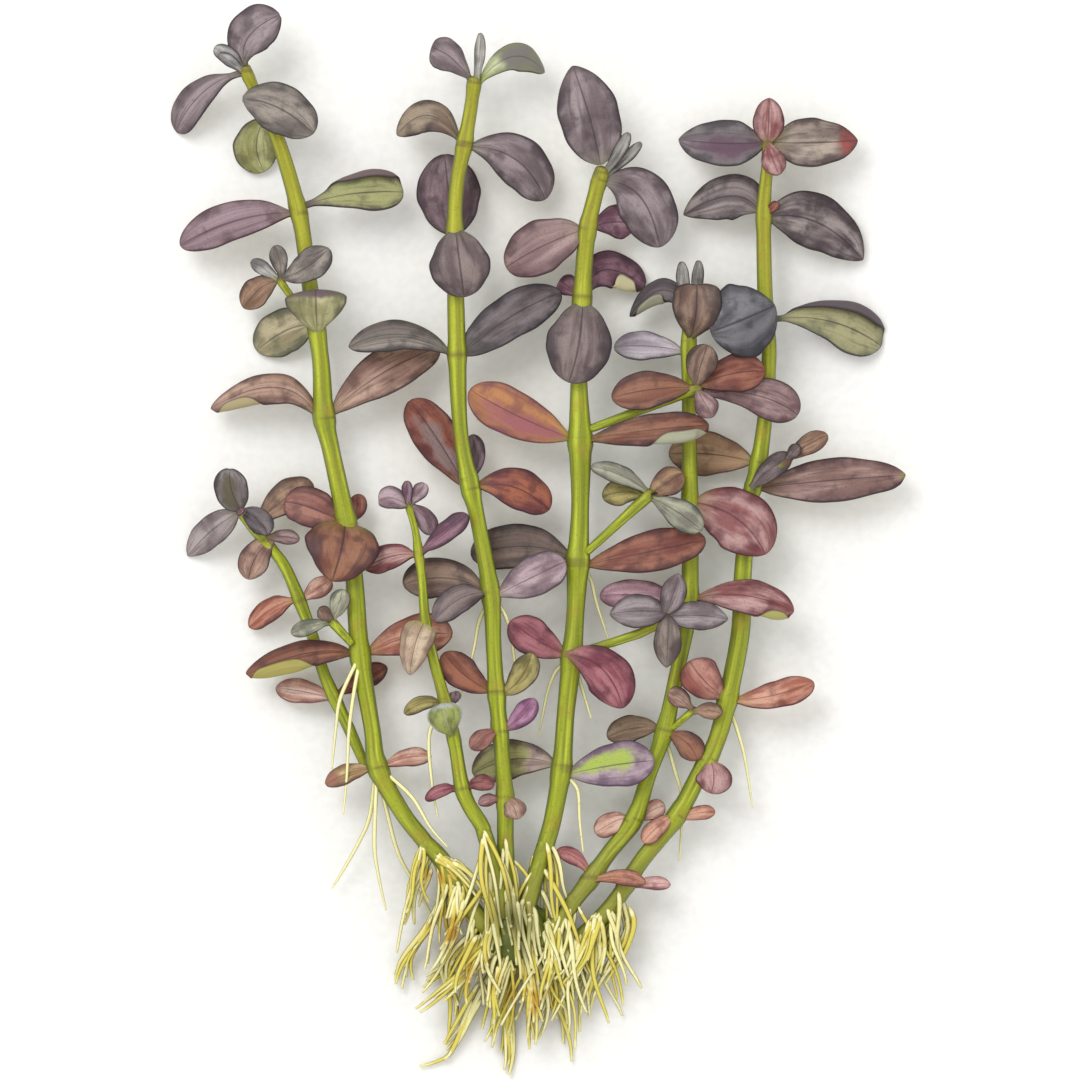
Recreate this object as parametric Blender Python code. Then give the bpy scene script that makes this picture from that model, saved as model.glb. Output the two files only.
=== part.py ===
"""A rooted clump of the stem plant Bacopa salzmannii, purple form, laid flat as lifted from the water.

Six stems rise from one forked rootstock with tangled roots. They carry fleshy leaves in pairs, small
rosettes at their tips, short side shoots, and thin aerial roots at the lower joints of the stem.

+Y runs up the plant, +X to its right, and +Z away from the surface that it lies on. Sizes and places in
the tables are millimetres in the plant's own frame, whose origin is below the middle of the whole clump.
"""

from collections import namedtuple
from math import cos, pi, radians, sin

import bmesh
import bpy
from mathutils import Matrix, Vector

MM = 0.001
JOINT_GAP = 0.75
STEM_SIDES = 8
SHOOT_SIDES = 6
ROOT_SIDES = 4

LEAF_THICKNESS = 0.7
PETIOLE_HALF_WIDTH = 0.55
PETIOLE_SHARE = 0.3
LARGE_LEAF_STATIONS = (0.0, 0.16, 0.38, 0.63, 0.86)
SMALL_LEAF_STATIONS = (0.0, 0.22, 0.55, 0.84)
SMALL_LEAF_LENGTH = 11.5
BLUNT_TIP = 0.97

ROOT_RADIUS = 0.36
ROOT_TIP_RADIUS = 0.26
ROOT_BUNDLE_RADIUS = 1.3

# How fast each kind of leaf widens from its base and narrows to its tip.
OUTLINES = {
    "oval": (0.9, 0.55),
    "round": (0.6, 0.5),
    "lance": (0.8, 0.7),
    "spoon": (1.4, 0.5),
    "wedge": (0.9, 0.32),
    "heart": (0.28, 0.58),
    "pointed": (0.65, 0.7),
}

COLOURS = {
    "stem": "A9B93A",
    "crown": "9A9148",
    "smoke": "7C6A70",
    "slate": "5E5C63",
    "plum": "5A3A50",
    "brown rose": "8E6A62",
    "rust": "86574A",
    "orange": "C08A5A",
    "red": "9A4A45",
    "rosy": "B07A80",
    "magenta": "8A4560",
    "coral": "B5675A",
    "lilac": "A08FA0",
    "olive": "7F7A4E",
    "pale green": "AEB3A5",
    "cream": "C5BE95",
}

# A leaf grows from the stem at a height, and its tip lies at reach from the stem's axis there. bow is how
# far the middle of its midrib stands off the straight line, tilt how far its face turns to the plant's
# top, and curl how far each half bends up, both in degrees. start, where it is given, is where the blade
# begins, also measured from the stem's axis: a leaf that folds over its stem begins on the far side of it.
Leaf = namedtuple("Leaf", "name height reach width bow tilt curl outline colour start", defaults=((),))

# The routes run up each stem from the rootstock: across, up, height above the surface, radius.
STEM_1 = (
    (-19.6, -49.2, 6.5, 1.4), (-23.0, -44.8, 6.8, 1.4), (-27.0, -37.5, 7.0, 1.6), (-28.0, -30.8, 7.0, 1.4),
    (-30.0, -18.4, 7.0, 1.6), (-31.0, -5.4, 7.0, 1.5), (-32.3, 3.6, 7.0, 1.6), (-34.7, 15.0, 7.0, 1.5),
    (-36.0, 21.2, 7.0, 1.7), (-36.6, 31.0, 7.0, 1.45), (-38.5, 43.9, 7.0, 1.35), (-40.2, 55.2, 7.0, 1.35),
    (-43.8, 67.6, 7.5, 1.2), (-47.6, 75.6, 8.0, 1.0), (-49.4, 79.6, 8.5, 0.9),
)
STEM_2 = (
    (-9.9, -46.6, 9.2, 1.3), (-12.7, -41.6, 9.6, 1.25), (-14.2, -33.2, 9.8, 1.1), (-15.8, -26.4, 10.0, 1.0),
    (-17.6, -19.8, 10.0, 0.9), (-19.0, -13.4, 10.0, 0.85), (-19.6, -6.6, 10.0, 0.75),
    (-20.2, -1.6, 10.0, 0.75), (-20.8, 2.4, 10.0, 0.6), (-22.1, 7.0, 10.2, 0.55),
)
STEM_3 = (
    (-5.8, -48.2, 7.4, 1.4), (-5.8, -42.4, 8.2, 1.4), (-6.4, -34.2, 8.6, 1.3), (-7.2, -25.4, 9.0, 1.4),
    (-7.7, -17.5, 9.0, 1.3), (-8.2, -8.4, 9.0, 1.45), (-10.3, 3.6, 9.0, 1.3), (-11.6, 9.4, 9.0, 1.5),
    (-13.2, 18.4, 9.0, 1.25), (-13.8, 31.4, 9.0, 1.5), (-14.2, 52.2, 9.0, 1.3), (-13.8, 60.0, 9.0, 1.25),
    (-12.6, 66.4, 9.0, 1.25), (-11.6, 72.0, 9.0, 1.15), (-10.8, 77.8, 9.2, 1.1),
)
STEM_4 = (
    (1.2, -49.4, 7.0, 1.5), (2.2, -45.6, 7.4, 1.5), (3.6, -37.4, 8.0, 1.6), (4.3, -28.2, 8.0, 1.5),
    (5.3, -18.9, 8.0, 1.7), (5.9, -11.5, 8.0, 1.5), (6.3, -3.2, 8.0, 1.8), (6.7, 6.5, 8.0, 1.5),
    (6.7, 17.0, 8.0, 1.9), (6.5, 27.5, 8.0, 1.4), (7.0, 40.4, 8.0, 1.5), (7.8, 51.4, 8.0, 1.4),
    (9.2, 58.0, 8.2, 1.3), (10.6, 62.8, 8.6, 1.1),
)
STEM_5 = (
    (6.4, -58.6, 6.0, 1.4), (8.7, -55.6, 5.8, 1.4), (11.5, -51.6, 5.6, 1.35), (15.6, -46.2, 5.5, 1.4),
    (18.2, -38.4, 5.5, 1.3), (20.8, -31.2, 5.5, 1.4), (23.0, -20.8, 5.5, 1.25), (24.4, -14.6, 5.5, 1.25),
    (25.0, -9.8, 5.5, 1.4), (25.0, 7.2, 5.5, 1.4), (24.9, 19.0, 5.5, 1.2), (24.8, 32.2, 5.5, 1.2),
    (25.1, 40.8, 6.0, 0.9),
)
STEM_6 = (
    (14.2, -57.2, 6.0, 1.4), (17.0, -52.8, 6.0, 1.4), (22.8, -45.4, 6.0, 1.5), (26.4, -38.8, 6.0, 1.5),
    (29.4, -33.0, 6.0, 1.5), (31.3, -25.8, 6.0, 1.6), (33.4, -15.0, 6.0, 1.6), (33.8, -5.6, 6.0, 1.5),
    (34.8, 5.8, 6.0, 1.35), (36.4, 13.0, 6.0, 1.4), (37.6, 22.0, 6.0, 1.25), (38.2, 32.0, 6.0, 1.25),
    (37.6, 39.2, 6.0, 1.3), (37.3, 54.8, 6.0, 1.2), (37.9, 63.0, 6.0, 1.0), (38.0, 67.6, 6.2, 1.0),
)

STEM_1_LEAVES = (
    Leaf("leaf_1_0_right", 79.6, (6.1, 8.3, 1.2), 8.0, (-2.2, 0.6, 0.8), 10, 14, "oval", "smoke"),
    Leaf("leaf_1_0_left", 78.6, (-11.8, -9.6, -8.2), 6.2, (-1.0, 1.6, 1.4), 20, 10, "spoon", "smoke"),
    Leaf("leaf_1_0_bud", 78.8, (-5.2, 3.7, 0.4), 3.0, (0.2, 0.4, 0.6), 0, 25, "oval", "pale green"),
    Leaf("leaf_1_0_small_bud", 78.8, (-4.4, 2.6, 1.6), 2.0, (0.0, 0.2, 0.4), 0, 25, "oval", "pale green"),
    Leaf("leaf_1_1_front", 72.4, (8.4, -4.2, 2.6), 8.6, (0.2, 1.3, 0.5), 0, -14, "round", "slate",
         (-3.4, 1.6, 2.9)),
    Leaf("leaf_1_1_back", 71.0, (-0.6, -8.8, -6.6), 7.8, (-1.4, 0.0, -0.6), 0, 10, "round", "cream"),
    Leaf("leaf_1_2_left", 55.1, (-19.8, -5.4, -2.0), 7.6, (0.0, 1.5, 1.2), 25, 10, "oval", "rosy"),
    Leaf("leaf_1_2_right", 55.9, (17.6, 2.6, -1.0), 6.8, (-0.4, 0.9, 1.0), 20, 10, "spoon", "smoke"),
    Leaf("leaf_1_3_front", 34.8, (-0.2, 7.4, 3.6), 11.0, (0.0, 0.4, 2.0), 0, -14, "wedge", "cream"),
    Leaf("leaf_1_3_back", 36.6, (-9.9, -4.4, -6.4), 7.8, (0.2, 1.2, -0.8), 0, 8, "round", "olive"),
    Leaf("leaf_1_4_left", 21.0, (-18.9, 1.4, -3.0), 6.6, (2.0, 4.4, 1.2), 35, -14, "oval", "brown rose"),
    Leaf("leaf_1_4_right", 21.2, (19.3, 11.5, -2.2), 8.0, (-0.9, 1.0, 0.6), 15, 10, "oval", "brown rose"),
    Leaf("leaf_1_5_front", 3.4, (-2.4, -9.6, 3.6), 12.6, (0.4, 0.0, 2.2), 0, -10, "heart", "rust"),
    Leaf("leaf_1_5_left", 3.8, (-10.2, 3.0, -0.6), 7.0, (-0.4, 0.8, 0.8), 15, 10, "round", "red"),
    Leaf("leaf_1_5_back", 3.4, (1.6, 4.8, -3.0), 3.4, (0.6, 0.0, -0.6), 0, 10, "oval", "red"),
    Leaf("leaf_1_6_left", -18.4, (-19.0, -3.4, -2.0), 6.0, (1.4, 1.9, 1.4), 35, -12, "oval", "red"),
    Leaf("leaf_1_6_right", -18.6, (15.3, 3.4, -1.6), 7.2, (0.4, 1.3, -0.6), 15, 10, "oval", "coral"),
    Leaf("leaf_1_7_left", -37.4, (-8.7, -2.8, -1.0), 3.6, (0.0, 0.6, 0.4), 25, 10, "oval", "red"),
    Leaf("leaf_1_7_right", -37.2, (8.9, 1.6, -1.0), 3.4, (0.0, 0.6, 0.4), 25, 10, "oval", "coral"),
)
STEM_2_LEAVES = (
    Leaf("leaf_2_0_curl", 6.4, (-4.8, 0.6, 0.4), 4.2, (-0.2, 0.8, 0.8), 20, 40, "round", "lilac"),
    Leaf("leaf_2_0_bud", 6.6, (-0.2, 3.8, 1.2), 1.8, (0.0, 0.0, 0.3), 0, 25, "oval", "rosy"),
    Leaf("leaf_2_0_right", 6.6, (2.8, 3.4, 0.2), 2.6, (0.2, 0.0, 0.3), 0, 25, "oval", "lilac"),
    Leaf("leaf_2_0_low", 6.2, (3.6, -4.8, -1.4), 3.4, (0.8, 0.4, 0.4), 0, 20, "oval", "plum"),
    Leaf("leaf_2_1_left", -1.8, (-9.0, -2.4, -2.6), 4.8, (0.0, 0.8, -0.4), 20, 10, "oval", "rosy"),
    Leaf("leaf_2_1_right", -1.6, (8.2, 6.4, 1.0), 3.8, (0.2, 0.2, 0.6), 20, 12, "oval", "plum"),
    Leaf("leaf_2_3_front", -13.2, (-2.6, -8.6, 2.4), 6.0, (-0.3, 0.8, 1.6), 0, -15, "heart", "cream"),
    Leaf("leaf_2_4_left", -26.6, (-6.8, -1.8, -1.0), 2.8, (0.0, 1.0, 0.4), 20, 15, "oval", "olive"),
    Leaf("leaf_2_4_front", -32.0, (-1.8, 5.4, 3.0), 6.0, (0.0, -0.6, 1.4), 0, 22, "spoon", "pale green"),
    Leaf("leaf_2_4_right", -26.8, (1.6, 2.2, -1.6), 2.0, (0.4, 0.0, -0.2), 0, 10, "oval", "plum"),
    Leaf("leaf_2_5_left", -40.8, (-6.2, -2.0, -0.6), 2.4, (0.0, 0.8, 0.2), 20, 10, "oval", "magenta"),
    Leaf("leaf_2_5_right", -40.8, (5.2, 0.4, 1.6), 3.0, (0.0, 0.8, 0.6), 20, 10, "oval", "magenta"),
)
STEM_3_LEAVES = (
    Leaf("leaf_3_0_left", 77.0, (-7.2, 5.4, 1.0), 6.2, (0.1, 1.0, 0.6), 20, -15, "wedge", "plum"),
    Leaf("leaf_3_0_bud", 77.0, (1.0, 8.0, 0.8), 1.8, (0.2, 0.0, 0.2), 0, 25, "oval", "smoke"),
    Leaf("leaf_3_0_right", 76.6, (11.6, 1.8, -2.2), 5.4, (0.4, 3.6, 1.0), 20, -12, "oval", "pale green"),
    Leaf("leaf_3_1_left", 66.8, (-11.2, 1.2, -3.0), 6.4, (0.0, 3.8, 0.6), 20, -12, "oval", "brown rose"),
    Leaf("leaf_3_1_right", 66.2, (13.4, -8.8, -4.4), 8.8, (1.4, 2.3, 1.0), 10, 10, "oval", "smoke"),
    Leaf("leaf_3_2_back", 51.4, (-1.8, 13.6, -6.8), 10.6, (0.0, -0.6, -1.2), 0, 8, "round", "plum"),
    Leaf("leaf_3_2_front", 52.2, (1.6, -11.2, 3.2), 10.2, (0.0, 0.0, 2.2), 0, -10, "round", "slate"),
    Leaf("leaf_3_3_left", 31.4, (-18.0, 1.2, -0.6), 6.2, (0.4, 2.8, 1.0), 30, -12, "oval", "slate"),
    Leaf("leaf_3_3_right", 31.4, (17.3, 10.4, -2.4), 7.9, (-0.3, 1.0, 1.0), 15, 8, "round", "slate"),
    Leaf("leaf_3_4_left", 9.2, (-10.2, 14.6, -3.0), 7.8, (0.2, 0.4, -0.6), 15, 8, "oval", "red"),
    Leaf("leaf_3_4_back", 10.6, (0.4, 7.6, -4.0), 3.6, (0.6, 0.0, -0.8), 0, 8, "oval", "plum"),
    Leaf("leaf_3_4_right", 9.4, (13.1, -3.8, -1.6), 7.2, (0.4, 1.7, 0.8), 15, 8, "oval", "red"),
    Leaf("leaf_3_6_back", -7.6, (-14.4, 0.6, -3.2), 7.2, (0.0, 1.6, -0.8), 15, 8, "oval", "rust"),
    Leaf("leaf_3_6_left", -8.4, (-9.3, -4.6, 3.2), 5.2, (0.0, 1.6, 1.0), 20, 12, "oval", "smoke"),
    Leaf("leaf_3_6_right", -8.8, (12.4, 5.8, 1.4), 7.0, (0.2, 0.2, 0.8), 10, 8, "oval", "lilac"),
    Leaf("leaf_3_7_left", -24.6, (-8.8, 6.4, -1.4), 5.6, (-0.4, -0.6, 0.2), 10, 8, "oval", "red"),
    Leaf("leaf_3_7_right", -25.2, (5.8, 7.0, 1.0), 4.6, (0.8, -0.6, 0.6), 10, 10, "oval", "olive"),
    Leaf("leaf_3_8_right", -31.0, (5.8, 5.2, 1.4), 3.8, (0.4, -0.4, 0.6), 10, 10, "oval", "lilac"),
    Leaf("leaf_3_8_left", -31.2, (-4.8, -3.0, 2.2), 3.4, (0.0, 0.4, 0.8), 10, 10, "oval", "rosy"),
    Leaf("leaf_3_9_left", -42.6, (-4.4, -0.8, 0.6), 2.2, (0.0, 0.4, 0.4), 10, 10, "oval", "red"),
    Leaf("leaf_3_9_front", -42.4, (2.0, -3.4, 2.8), 4.0, (0.4, 0.0, 1.2), 0, -10, "round", "brown rose"),
)
STEM_4_LEAVES = (
    Leaf("leaf_4_0_left", 62.9, (-5.2, 16.6, 0.4), 10.4, (0.5, -0.3, 1.0), 0, 12, "pointed", "smoke"),
    Leaf("leaf_4_0_bud", 62.0, (4.4, 6.4, 1.4), 2.2, (0.2, -0.2, 0.4), 0, 25, "oval", "pale green"),
    Leaf("leaf_4_0_small_bud", 61.6, (6.6, 5.2, 0.4), 1.8, (0.2, -0.2, 0.3), 0, 25, "oval", "pale green"),
    Leaf("leaf_4_0_right", 60.4, (10.0, -11.0, -2.0), 9.8, (1.4, 3.0, 1.2), 0, 8, "oval", "smoke"),
    Leaf("leaf_4_1_left", 52.0, (-13.5, -6.0, -2.4), 9.2, (-0.4, 0.4, 0.8), 15, 8, "round", "rosy"),
    Leaf("leaf_4_1_right", 52.8, (7.8, 0.2, -4.6), 6.0, (0.2, 0.8, -0.6), 10, 8, "oval", "plum"),
    Leaf("leaf_4_2_back", 41.0, (10.4, 1.8, -6.6), 6.6, (-1.6, 3.8, -1.2), 10, 8, "oval", "plum"),
    Leaf("leaf_4_2_left", 41.2, (-3.8, 2.6, -3.4), 4.0, (-0.2, 0.4, -0.4), 10, 8, "oval", "plum"),
    Leaf("leaf_4_2_front", 40.2, (-2.2, -13.4, 3.4), 11.0, (0.6, 0.0, 2.0), 0, -8, "round", "smoke"),
    Leaf("leaf_4_3_left", 17.4, (-18.4, 8.2, 0.8), 8.2, (-0.4, -0.4, 0.6), 10, 8, "oval", "orange"),
    Leaf("leaf_4_3_right", 17.2, (21.4, 2.4, 2.6), 6.0, (0.2, 0.4, 1.6), 25, 8, "oval", "rust"),
    Leaf("leaf_4_4_left", -2.4, (-17.8, 0.2, -4.4), 8.0, (0.2, 1.8, -0.8), 15, 8, "oval", "olive"),
    Leaf("leaf_4_4_right", -3.6, (21.3, 4.2, 1.0), 7.2, (0.2, 0.0, 0.4), 15, 8, "oval", "red"),
    Leaf("leaf_4_5_left", -18.8, (-10.3, 5.8, 0.4), 6.4, (-0.2, -0.2, 0.6), 10, 8, "oval", "magenta"),
    Leaf("leaf_4_5_right", -19.0, (8.4, -8.4, 2.6), 8.0, (1.5, 2.0, 1.0), 0, -8, "oval", "magenta",
         (-1.2, 0.6, 2.9)),
    Leaf("leaf_4_6_left", -37.0, (-14.8, -1.6, -4.8), 7.0, (0.0, 1.8, -0.8), 15, 8, "oval", "olive"),
    Leaf("leaf_4_6_right", -38.4, (15.6, 2.2, 0.4), 7.8, (0.2, 0.4, 0.8), 10, 8, "oval", "lilac"),
)
STEM_5_LEAVES = (
    Leaf("leaf_5_0_bud", 39.6, (-1.4, 7.4, 0.6), 2.2, (-0.2, 0.0, 0.2), 0, 25, "oval", "pale green"),
    Leaf("leaf_5_0_small_bud", 39.6, (1.4, 7.6, 0.8), 2.0, (0.2, 0.0, 0.2), 0, 25, "oval", "pale green"),
    Leaf("leaf_5_0_left", 39.4, (-10.0, -1.6, -1.4), 4.6, (0.4, 3.6, 0.2), 25, -12, "pointed", "plum"),
    Leaf("leaf_5_0_front", 34.2, (1.2, 8.8, 3.4), 8.6, (0.4, -0.4, 2.2), 0, 25, "wedge", "brown rose"),
    Leaf("leaf_5_1_left", 31.9, (-12.4, 0.8, -1.4), 5.2, (0.0, 0.6, 0.2), 20, 10, "oval", "lilac"),
    Leaf("leaf_5_4_right", 6.8, (12.5, -8.6, 3.8), 10.6, (1.2, 1.6, 1.8), 5, -6, "round", "rosy"),
    Leaf("leaf_5_5_left", -9.8, (-15.0, 1.0, 0.4), 5.6, (0.0, 0.6, 0.6), 25, 8, "oval", "rosy"),
    Leaf("leaf_5_5_right", -9.2, (17.2, -2.2, 3.2), 6.6, (0.2, 1.6, 2.2), 25, -8, "oval", "rosy"),
    Leaf("leaf_5_6_left", -31.0, (-9.6, -1.4, -0.6), 4.8, (0.0, 0.8, 0.2), 20, 8, "oval", "olive"),
    Leaf("leaf_5_6_right", -31.4, (5.4, -4.8, 2.0), 4.6, (0.8, 0.6, 1.0), 10, 10, "oval", "rust"),
    Leaf("leaf_5_7_left", -46.2, (-6.4, -2.2, -0.8), 4.2, (0.0, 0.4, 0.2), 20, 8, "oval", "coral"),
    Leaf("leaf_5_7_right", -46.0, (5.2, 2.2, -1.2), 3.6, (0.0, 0.4, 0.0), 20, 8, "oval", "coral"),
    Leaf("leaf_5_8_left", -55.4, (-6.2, 4.0, 0.4), 2.8, (0.4, 0.8, 0.4), 10, 8, "oval", "magenta"),
    Leaf("leaf_5_8_right", -55.8, (9.0, -0.8, 3.2), 2.8, (0.2, 0.8, 1.4), 10, 8, "oval", "rosy"),
)
STEM_6_LEAVES = (
    Leaf("leaf_6_0_left", 66.8, (-14.8, 0.6, -2.6), 8.2, (0.2, -0.4, 0.8), 15, 10, "pointed", "plum"),
    Leaf("leaf_6_0_top", 66.8, (0.2, 7.4, 1.6), 5.4, (0.0, 0.0, 0.8), 0, 18, "pointed", "red"),
    Leaf("leaf_6_0_front", 66.8, (1.8, -5.4, 3.0), 4.4, (-0.2, 0.0, 1.8), 0, -12, "oval", "rosy"),
    Leaf("leaf_6_0_right", 66.8, (15.0, 0.4, -1.6), 8.6, (-0.2, -0.2, 0.8), 15, 10, "pointed", "smoke"),
    Leaf("leaf_6_1_left", 55.2, (-13.3, -0.4, -2.6), 8.6, (1.4, 2.9, 0.8), 20, -10, "pointed", "slate"),
    Leaf("leaf_6_1_right", 54.4, (16.6, -7.0, -5.0), 9.6, (0.4, 2.6, 1.0), 10, 8, "pointed", "slate"),
    Leaf("leaf_6_1_bud", 55.2, (2.4, 1.6, 1.2), 1.6, (0.0, 0.0, 0.2), 0, 20, "oval", "red"),
    Leaf("leaf_6_2_left", 38.8, (-9.2, -3.6, 3.6), 13.0, (0.4, 0.0, 2.2), 5, -14, "round", "slate",
         (1.4, 0.8, 2.9)),
    Leaf("leaf_6_2_right", 37.2, (19.2, -4.2, -5.4), 8.4, (0.4, 2.0, 0.8), 15, -8, "spoon", "pale green"),
    Leaf("leaf_6_4_left", 13.4, (-14.9, 1.6, -5.4), 7.6, (0.4, 0.6, -0.8), 10, 8, "oval", "brown rose"),
    Leaf("leaf_6_4_right", 9.4, (25.4, 2.0, -1.6), 7.6, (0.0, 0.2, 1.0), 15, 8, "lance", "brown rose"),
    Leaf("leaf_6_6_right", -26.0, (14.4, 2.8, -0.6), 5.2, (0.2, -0.6, 1.0), 25, 10, "oval", "coral"),
    Leaf("leaf_6_6_left", -25.8, (-6.4, 6.2, 2.6), 6.8, (-0.4, -0.2, 1.2), 5, 8, "oval", "rust"),
    Leaf("leaf_6_7_front", -36.0, (0.6, -5.6, 2.4), 6.2, (0.6, 0.2, 1.2), 0, 8, "oval", "rosy"),
    Leaf("leaf_6_8_left", -45.6, (-5.5, -4.2, 1.4), 3.4, (-0.2, 0.2, 0.8), 10, 8, "oval", "coral"),
    Leaf("leaf_6_8_right", -45.4, (6.4, 0.6, 0.2), 2.6, (0.0, 0.4, 0.4), 10, 8, "oval", "coral"),
    Leaf("leaf_6_9_right", -56.6, (7.2, -0.4, -0.4), 2.4, (0.0, 0.4, 0.2), 10, 8, "oval", "rosy"),
)

# Side shoots: the same kind of route, from the joint where each leaves its stem out to its rosette.
SHOOT_1_UPPER = ((-40.9, 40.4, 8.4, 0.6), (-42.8, 43.0, 8.8, 0.6), (-43.5, 44.6, 9.2, 0.7))
SHOOT_1_LOWER = (
    (-29.3, -36.8, 4.9, 0.8), (-31.9, -30.8, 4.8, 1.0), (-35.8, -22.4, 4.6, 1.0), (-37.6, -16.6, 4.6, 1.0),
    (-39.1, -12.2, 4.6, 1.0), (-42.2, -4.6, 4.8, 1.0), (-44.7, -1.0, 5.2, 0.9), (-47.6, 2.4, 6.0, 0.85),
    (-50.3, 5.9, 7.0, 0.8),
)
SHOOT_1_MIDDLE = ((-32.3, -15.6, 8.9, 0.7), (-35.2, -12.4, 9.4, 0.8))
SHOOT_4_UPPER = (
    (9.2, 19.4, 8.2, 0.7),
    (16.7, 22.2, 8.4, 0.8),
    (25.0, 25.4, 9.4, 0.8),
    (27.2, 26.2, 9.8, 0.8),
)
SHOOT_4_MIDDLE = ((8.8, -0.5, 9.1, 0.7), (17.4, 7.4, 10.0, 0.9), (18.7, 8.3, 10.2, 0.8))
SHOOT_4_LOWER = ((7.6, -17.8, 9.4, 0.7), (17.5, -14.6, 10.2, 0.8), (21.5, -11.6, 10.8, 0.8))
SHOOT_5 = ((23.1, -29.9, 6.6, 0.55), (26.0, -27.4, 7.4, 0.6))
SHOOT_6 = ((38.2, 11.4, 7.6, 0.6), (40.0, 12.8, 8.2, 0.7), (42.0, 14.2, 9.0, 0.6))

SHOOT_1_UPPER_LEAVES = (
    Leaf("leaf_1a_west", 44.2, (-4.8, 2.8, 0.6), 2.4, (0.0, 0.2, 0.3), 0, 15, "oval", "smoke"),
    Leaf("leaf_1a_top", 44.2, (-0.8, 5.4, 1.0), 3.0, (0.2, 0.0, 0.4), 0, 20, "oval", "slate"),
    Leaf("leaf_1a_east", 44.0, (8.2, 5.0, 2.8), 5.4, (0.2, -0.6, 1.0), 10, 8, "oval", "smoke"),
    Leaf("leaf_1a_low", 44.0, (-6.2, -4.6, -5.6), 4.8, (-0.2, 0.8, 0.6), 0, 8, "oval", "brown rose"),
)
SHOOT_1_LOWER_LEAVES = (
    Leaf("leaf_1b_cup", 5.6, (-1.6, 6.8, 2.4), 6.0, (-0.6, 0.0, 0.6), 0, 35, "round", "slate"),
    Leaf("leaf_1b_bud", 5.6, (0.6, -0.6, 2.8), 1.8, (0.0, 0.0, 0.2), 0, 20, "oval", "rosy"),
    Leaf("leaf_1b_west", 5.4, (-8.9, -7.4, -6.8), 5.2, (-0.4, 0.4, 1.0), 0, 8, "pointed", "smoke"),
    Leaf("leaf_1b_east", 5.4, (4.6, -4.0, 2.0), 4.6, (0.6, 0.4, 0.6), 0, -25, "round", "slate"),
    Leaf("leaf_1b_1_right", 2.6, (10.0, 7.0, -1.8), 6.0, (0.0, 1.2, 0.2), 20, 8, "oval", "brown rose"),
    Leaf("leaf_1b_1_left", 0.4, (-2.8, -6.4, -1.0), 5.2, (-0.8, 0.4, 0.4), 0, 8, "oval", "brown rose",
         (1.8, 1.0, 0.6)),
    Leaf("leaf_1b_1_small", 0.6, (6.0, 0.0, 1.0), 2.6, (0.0, 0.4, 0.2), 10, 8, "oval", "rosy"),
    Leaf("leaf_1b_2_left", -9.2, (-8.2, -4.8, -3.0), 4.2, (0.0, 0.8, 0.4), 20, 8, "oval", "coral"),
    Leaf("leaf_1b_2_right", -9.6, (5.4, 3.4, -1.0), 3.6, (0.0, 0.2, 0.2), 10, 8, "oval", "brown rose"),
    Leaf("leaf_1b_4_left", -25.6, (-9.8, 1.4, -3.4), 4.4, (0.2, 0.2, 0.2), 20, 8, "oval", "rosy"),
    Leaf("leaf_1b_4_right", -25.4, (8.8, 4.8, -2.0), 4.0, (0.2, 0.2, -0.8), 20, 8, "oval", "red"),
)
SHOOT_1_MIDDLE_LEAVES = (
    Leaf("leaf_1c_top", -12.8, (2.0, 5.2, 1.0), 3.4, (0.2, 0.0, 0.4), 0, 12, "oval", "pale green"),
    Leaf("leaf_1c_left", -12.8, (-6.6, -2.2, -0.2), 2.8, (0.0, 0.2, 0.4), 10, 12, "oval", "pale green"),
    Leaf("leaf_1c_bud", -12.8, (-2.0, 1.8, 1.6), 2.4, (0.0, 0.2, 0.2), 0, 20, "oval", "slate"),
)
SHOOT_4_UPPER_LEAVES = (
    Leaf("leaf_4a_left", 25.6, (-13.6, -1.4, 0.6), 6.6, (0.2, 0.6, 0.8), 15, 8, "oval", "rust"),
    Leaf("leaf_4a_right", 25.8, (11.4, 2.8, -0.2), 6.8, (0.2, 0.8, 0.8), 15, 8, "oval", "red"),
    Leaf("leaf_4a_top", 25.8, (1.8, 7.2, 2.6), 5.4, (-0.2, 0.0, 0.8), 0, 15, "oval", "brown rose"),
    Leaf("leaf_4a_front", 25.8, (2.6, -4.8, 3.0), 4.2, (0.0, 0.0, 1.2), 0, -10, "oval", "rosy"),
    Leaf("leaf_4a_far_right", 25.2, (18.4, -3.8, -0.4), 7.0, (1.2, 1.8, 0.6), 10, 10, "spoon", "rosy"),
)
SHOOT_4_MIDDLE_LEAVES = (
    Leaf("leaf_4b_upper_left", 8.0, (-9.8, 4.8, 0.2), 3.3, (0.6, 0.6, 0.6), 10, 10, "oval", "pale green"),
    Leaf("leaf_4b_left", 7.4, (-7.0, 0.2, -1.4), 4.8, (0.2, 0.8, 0.0), 20, 8, "oval", "olive"),
    Leaf("leaf_4b_right", 7.8, (6.0, 3.8, -0.8), 5.2, (0.0, 0.2, 0.0), 20, 8, "oval", "rust"),
    Leaf("leaf_4b_low", 8.0, (8.6, -5.8, 0.6), 5.0, (0.4, 0.2, 0.8), 0, 8, "oval", "pale green"),
)
SHOOT_4_LOWER_LEAVES = (
    Leaf("leaf_4c_left", -11.8, (-9.6, 0.0, 0.0), 5.8, (0.0, 0.4, 0.8), 10, 8, "pointed", "smoke"),
    Leaf("leaf_4c_top", -11.8, (1.8, 6.8, 1.0), 4.4, (0.2, 0.0, 0.8), 0, 12, "pointed", "smoke"),
    Leaf("leaf_4c_right", -11.8, (10.0, -0.8, 0.4), 5.0, (0.0, 0.4, 0.8), 10, 8, "pointed", "smoke"),
    Leaf("leaf_4c_front", -11.8, (-0.2, -8.8, 1.2), 4.8, (0.0, 0.0, 1.2), 0, 8, "pointed", "smoke"),
)
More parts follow.
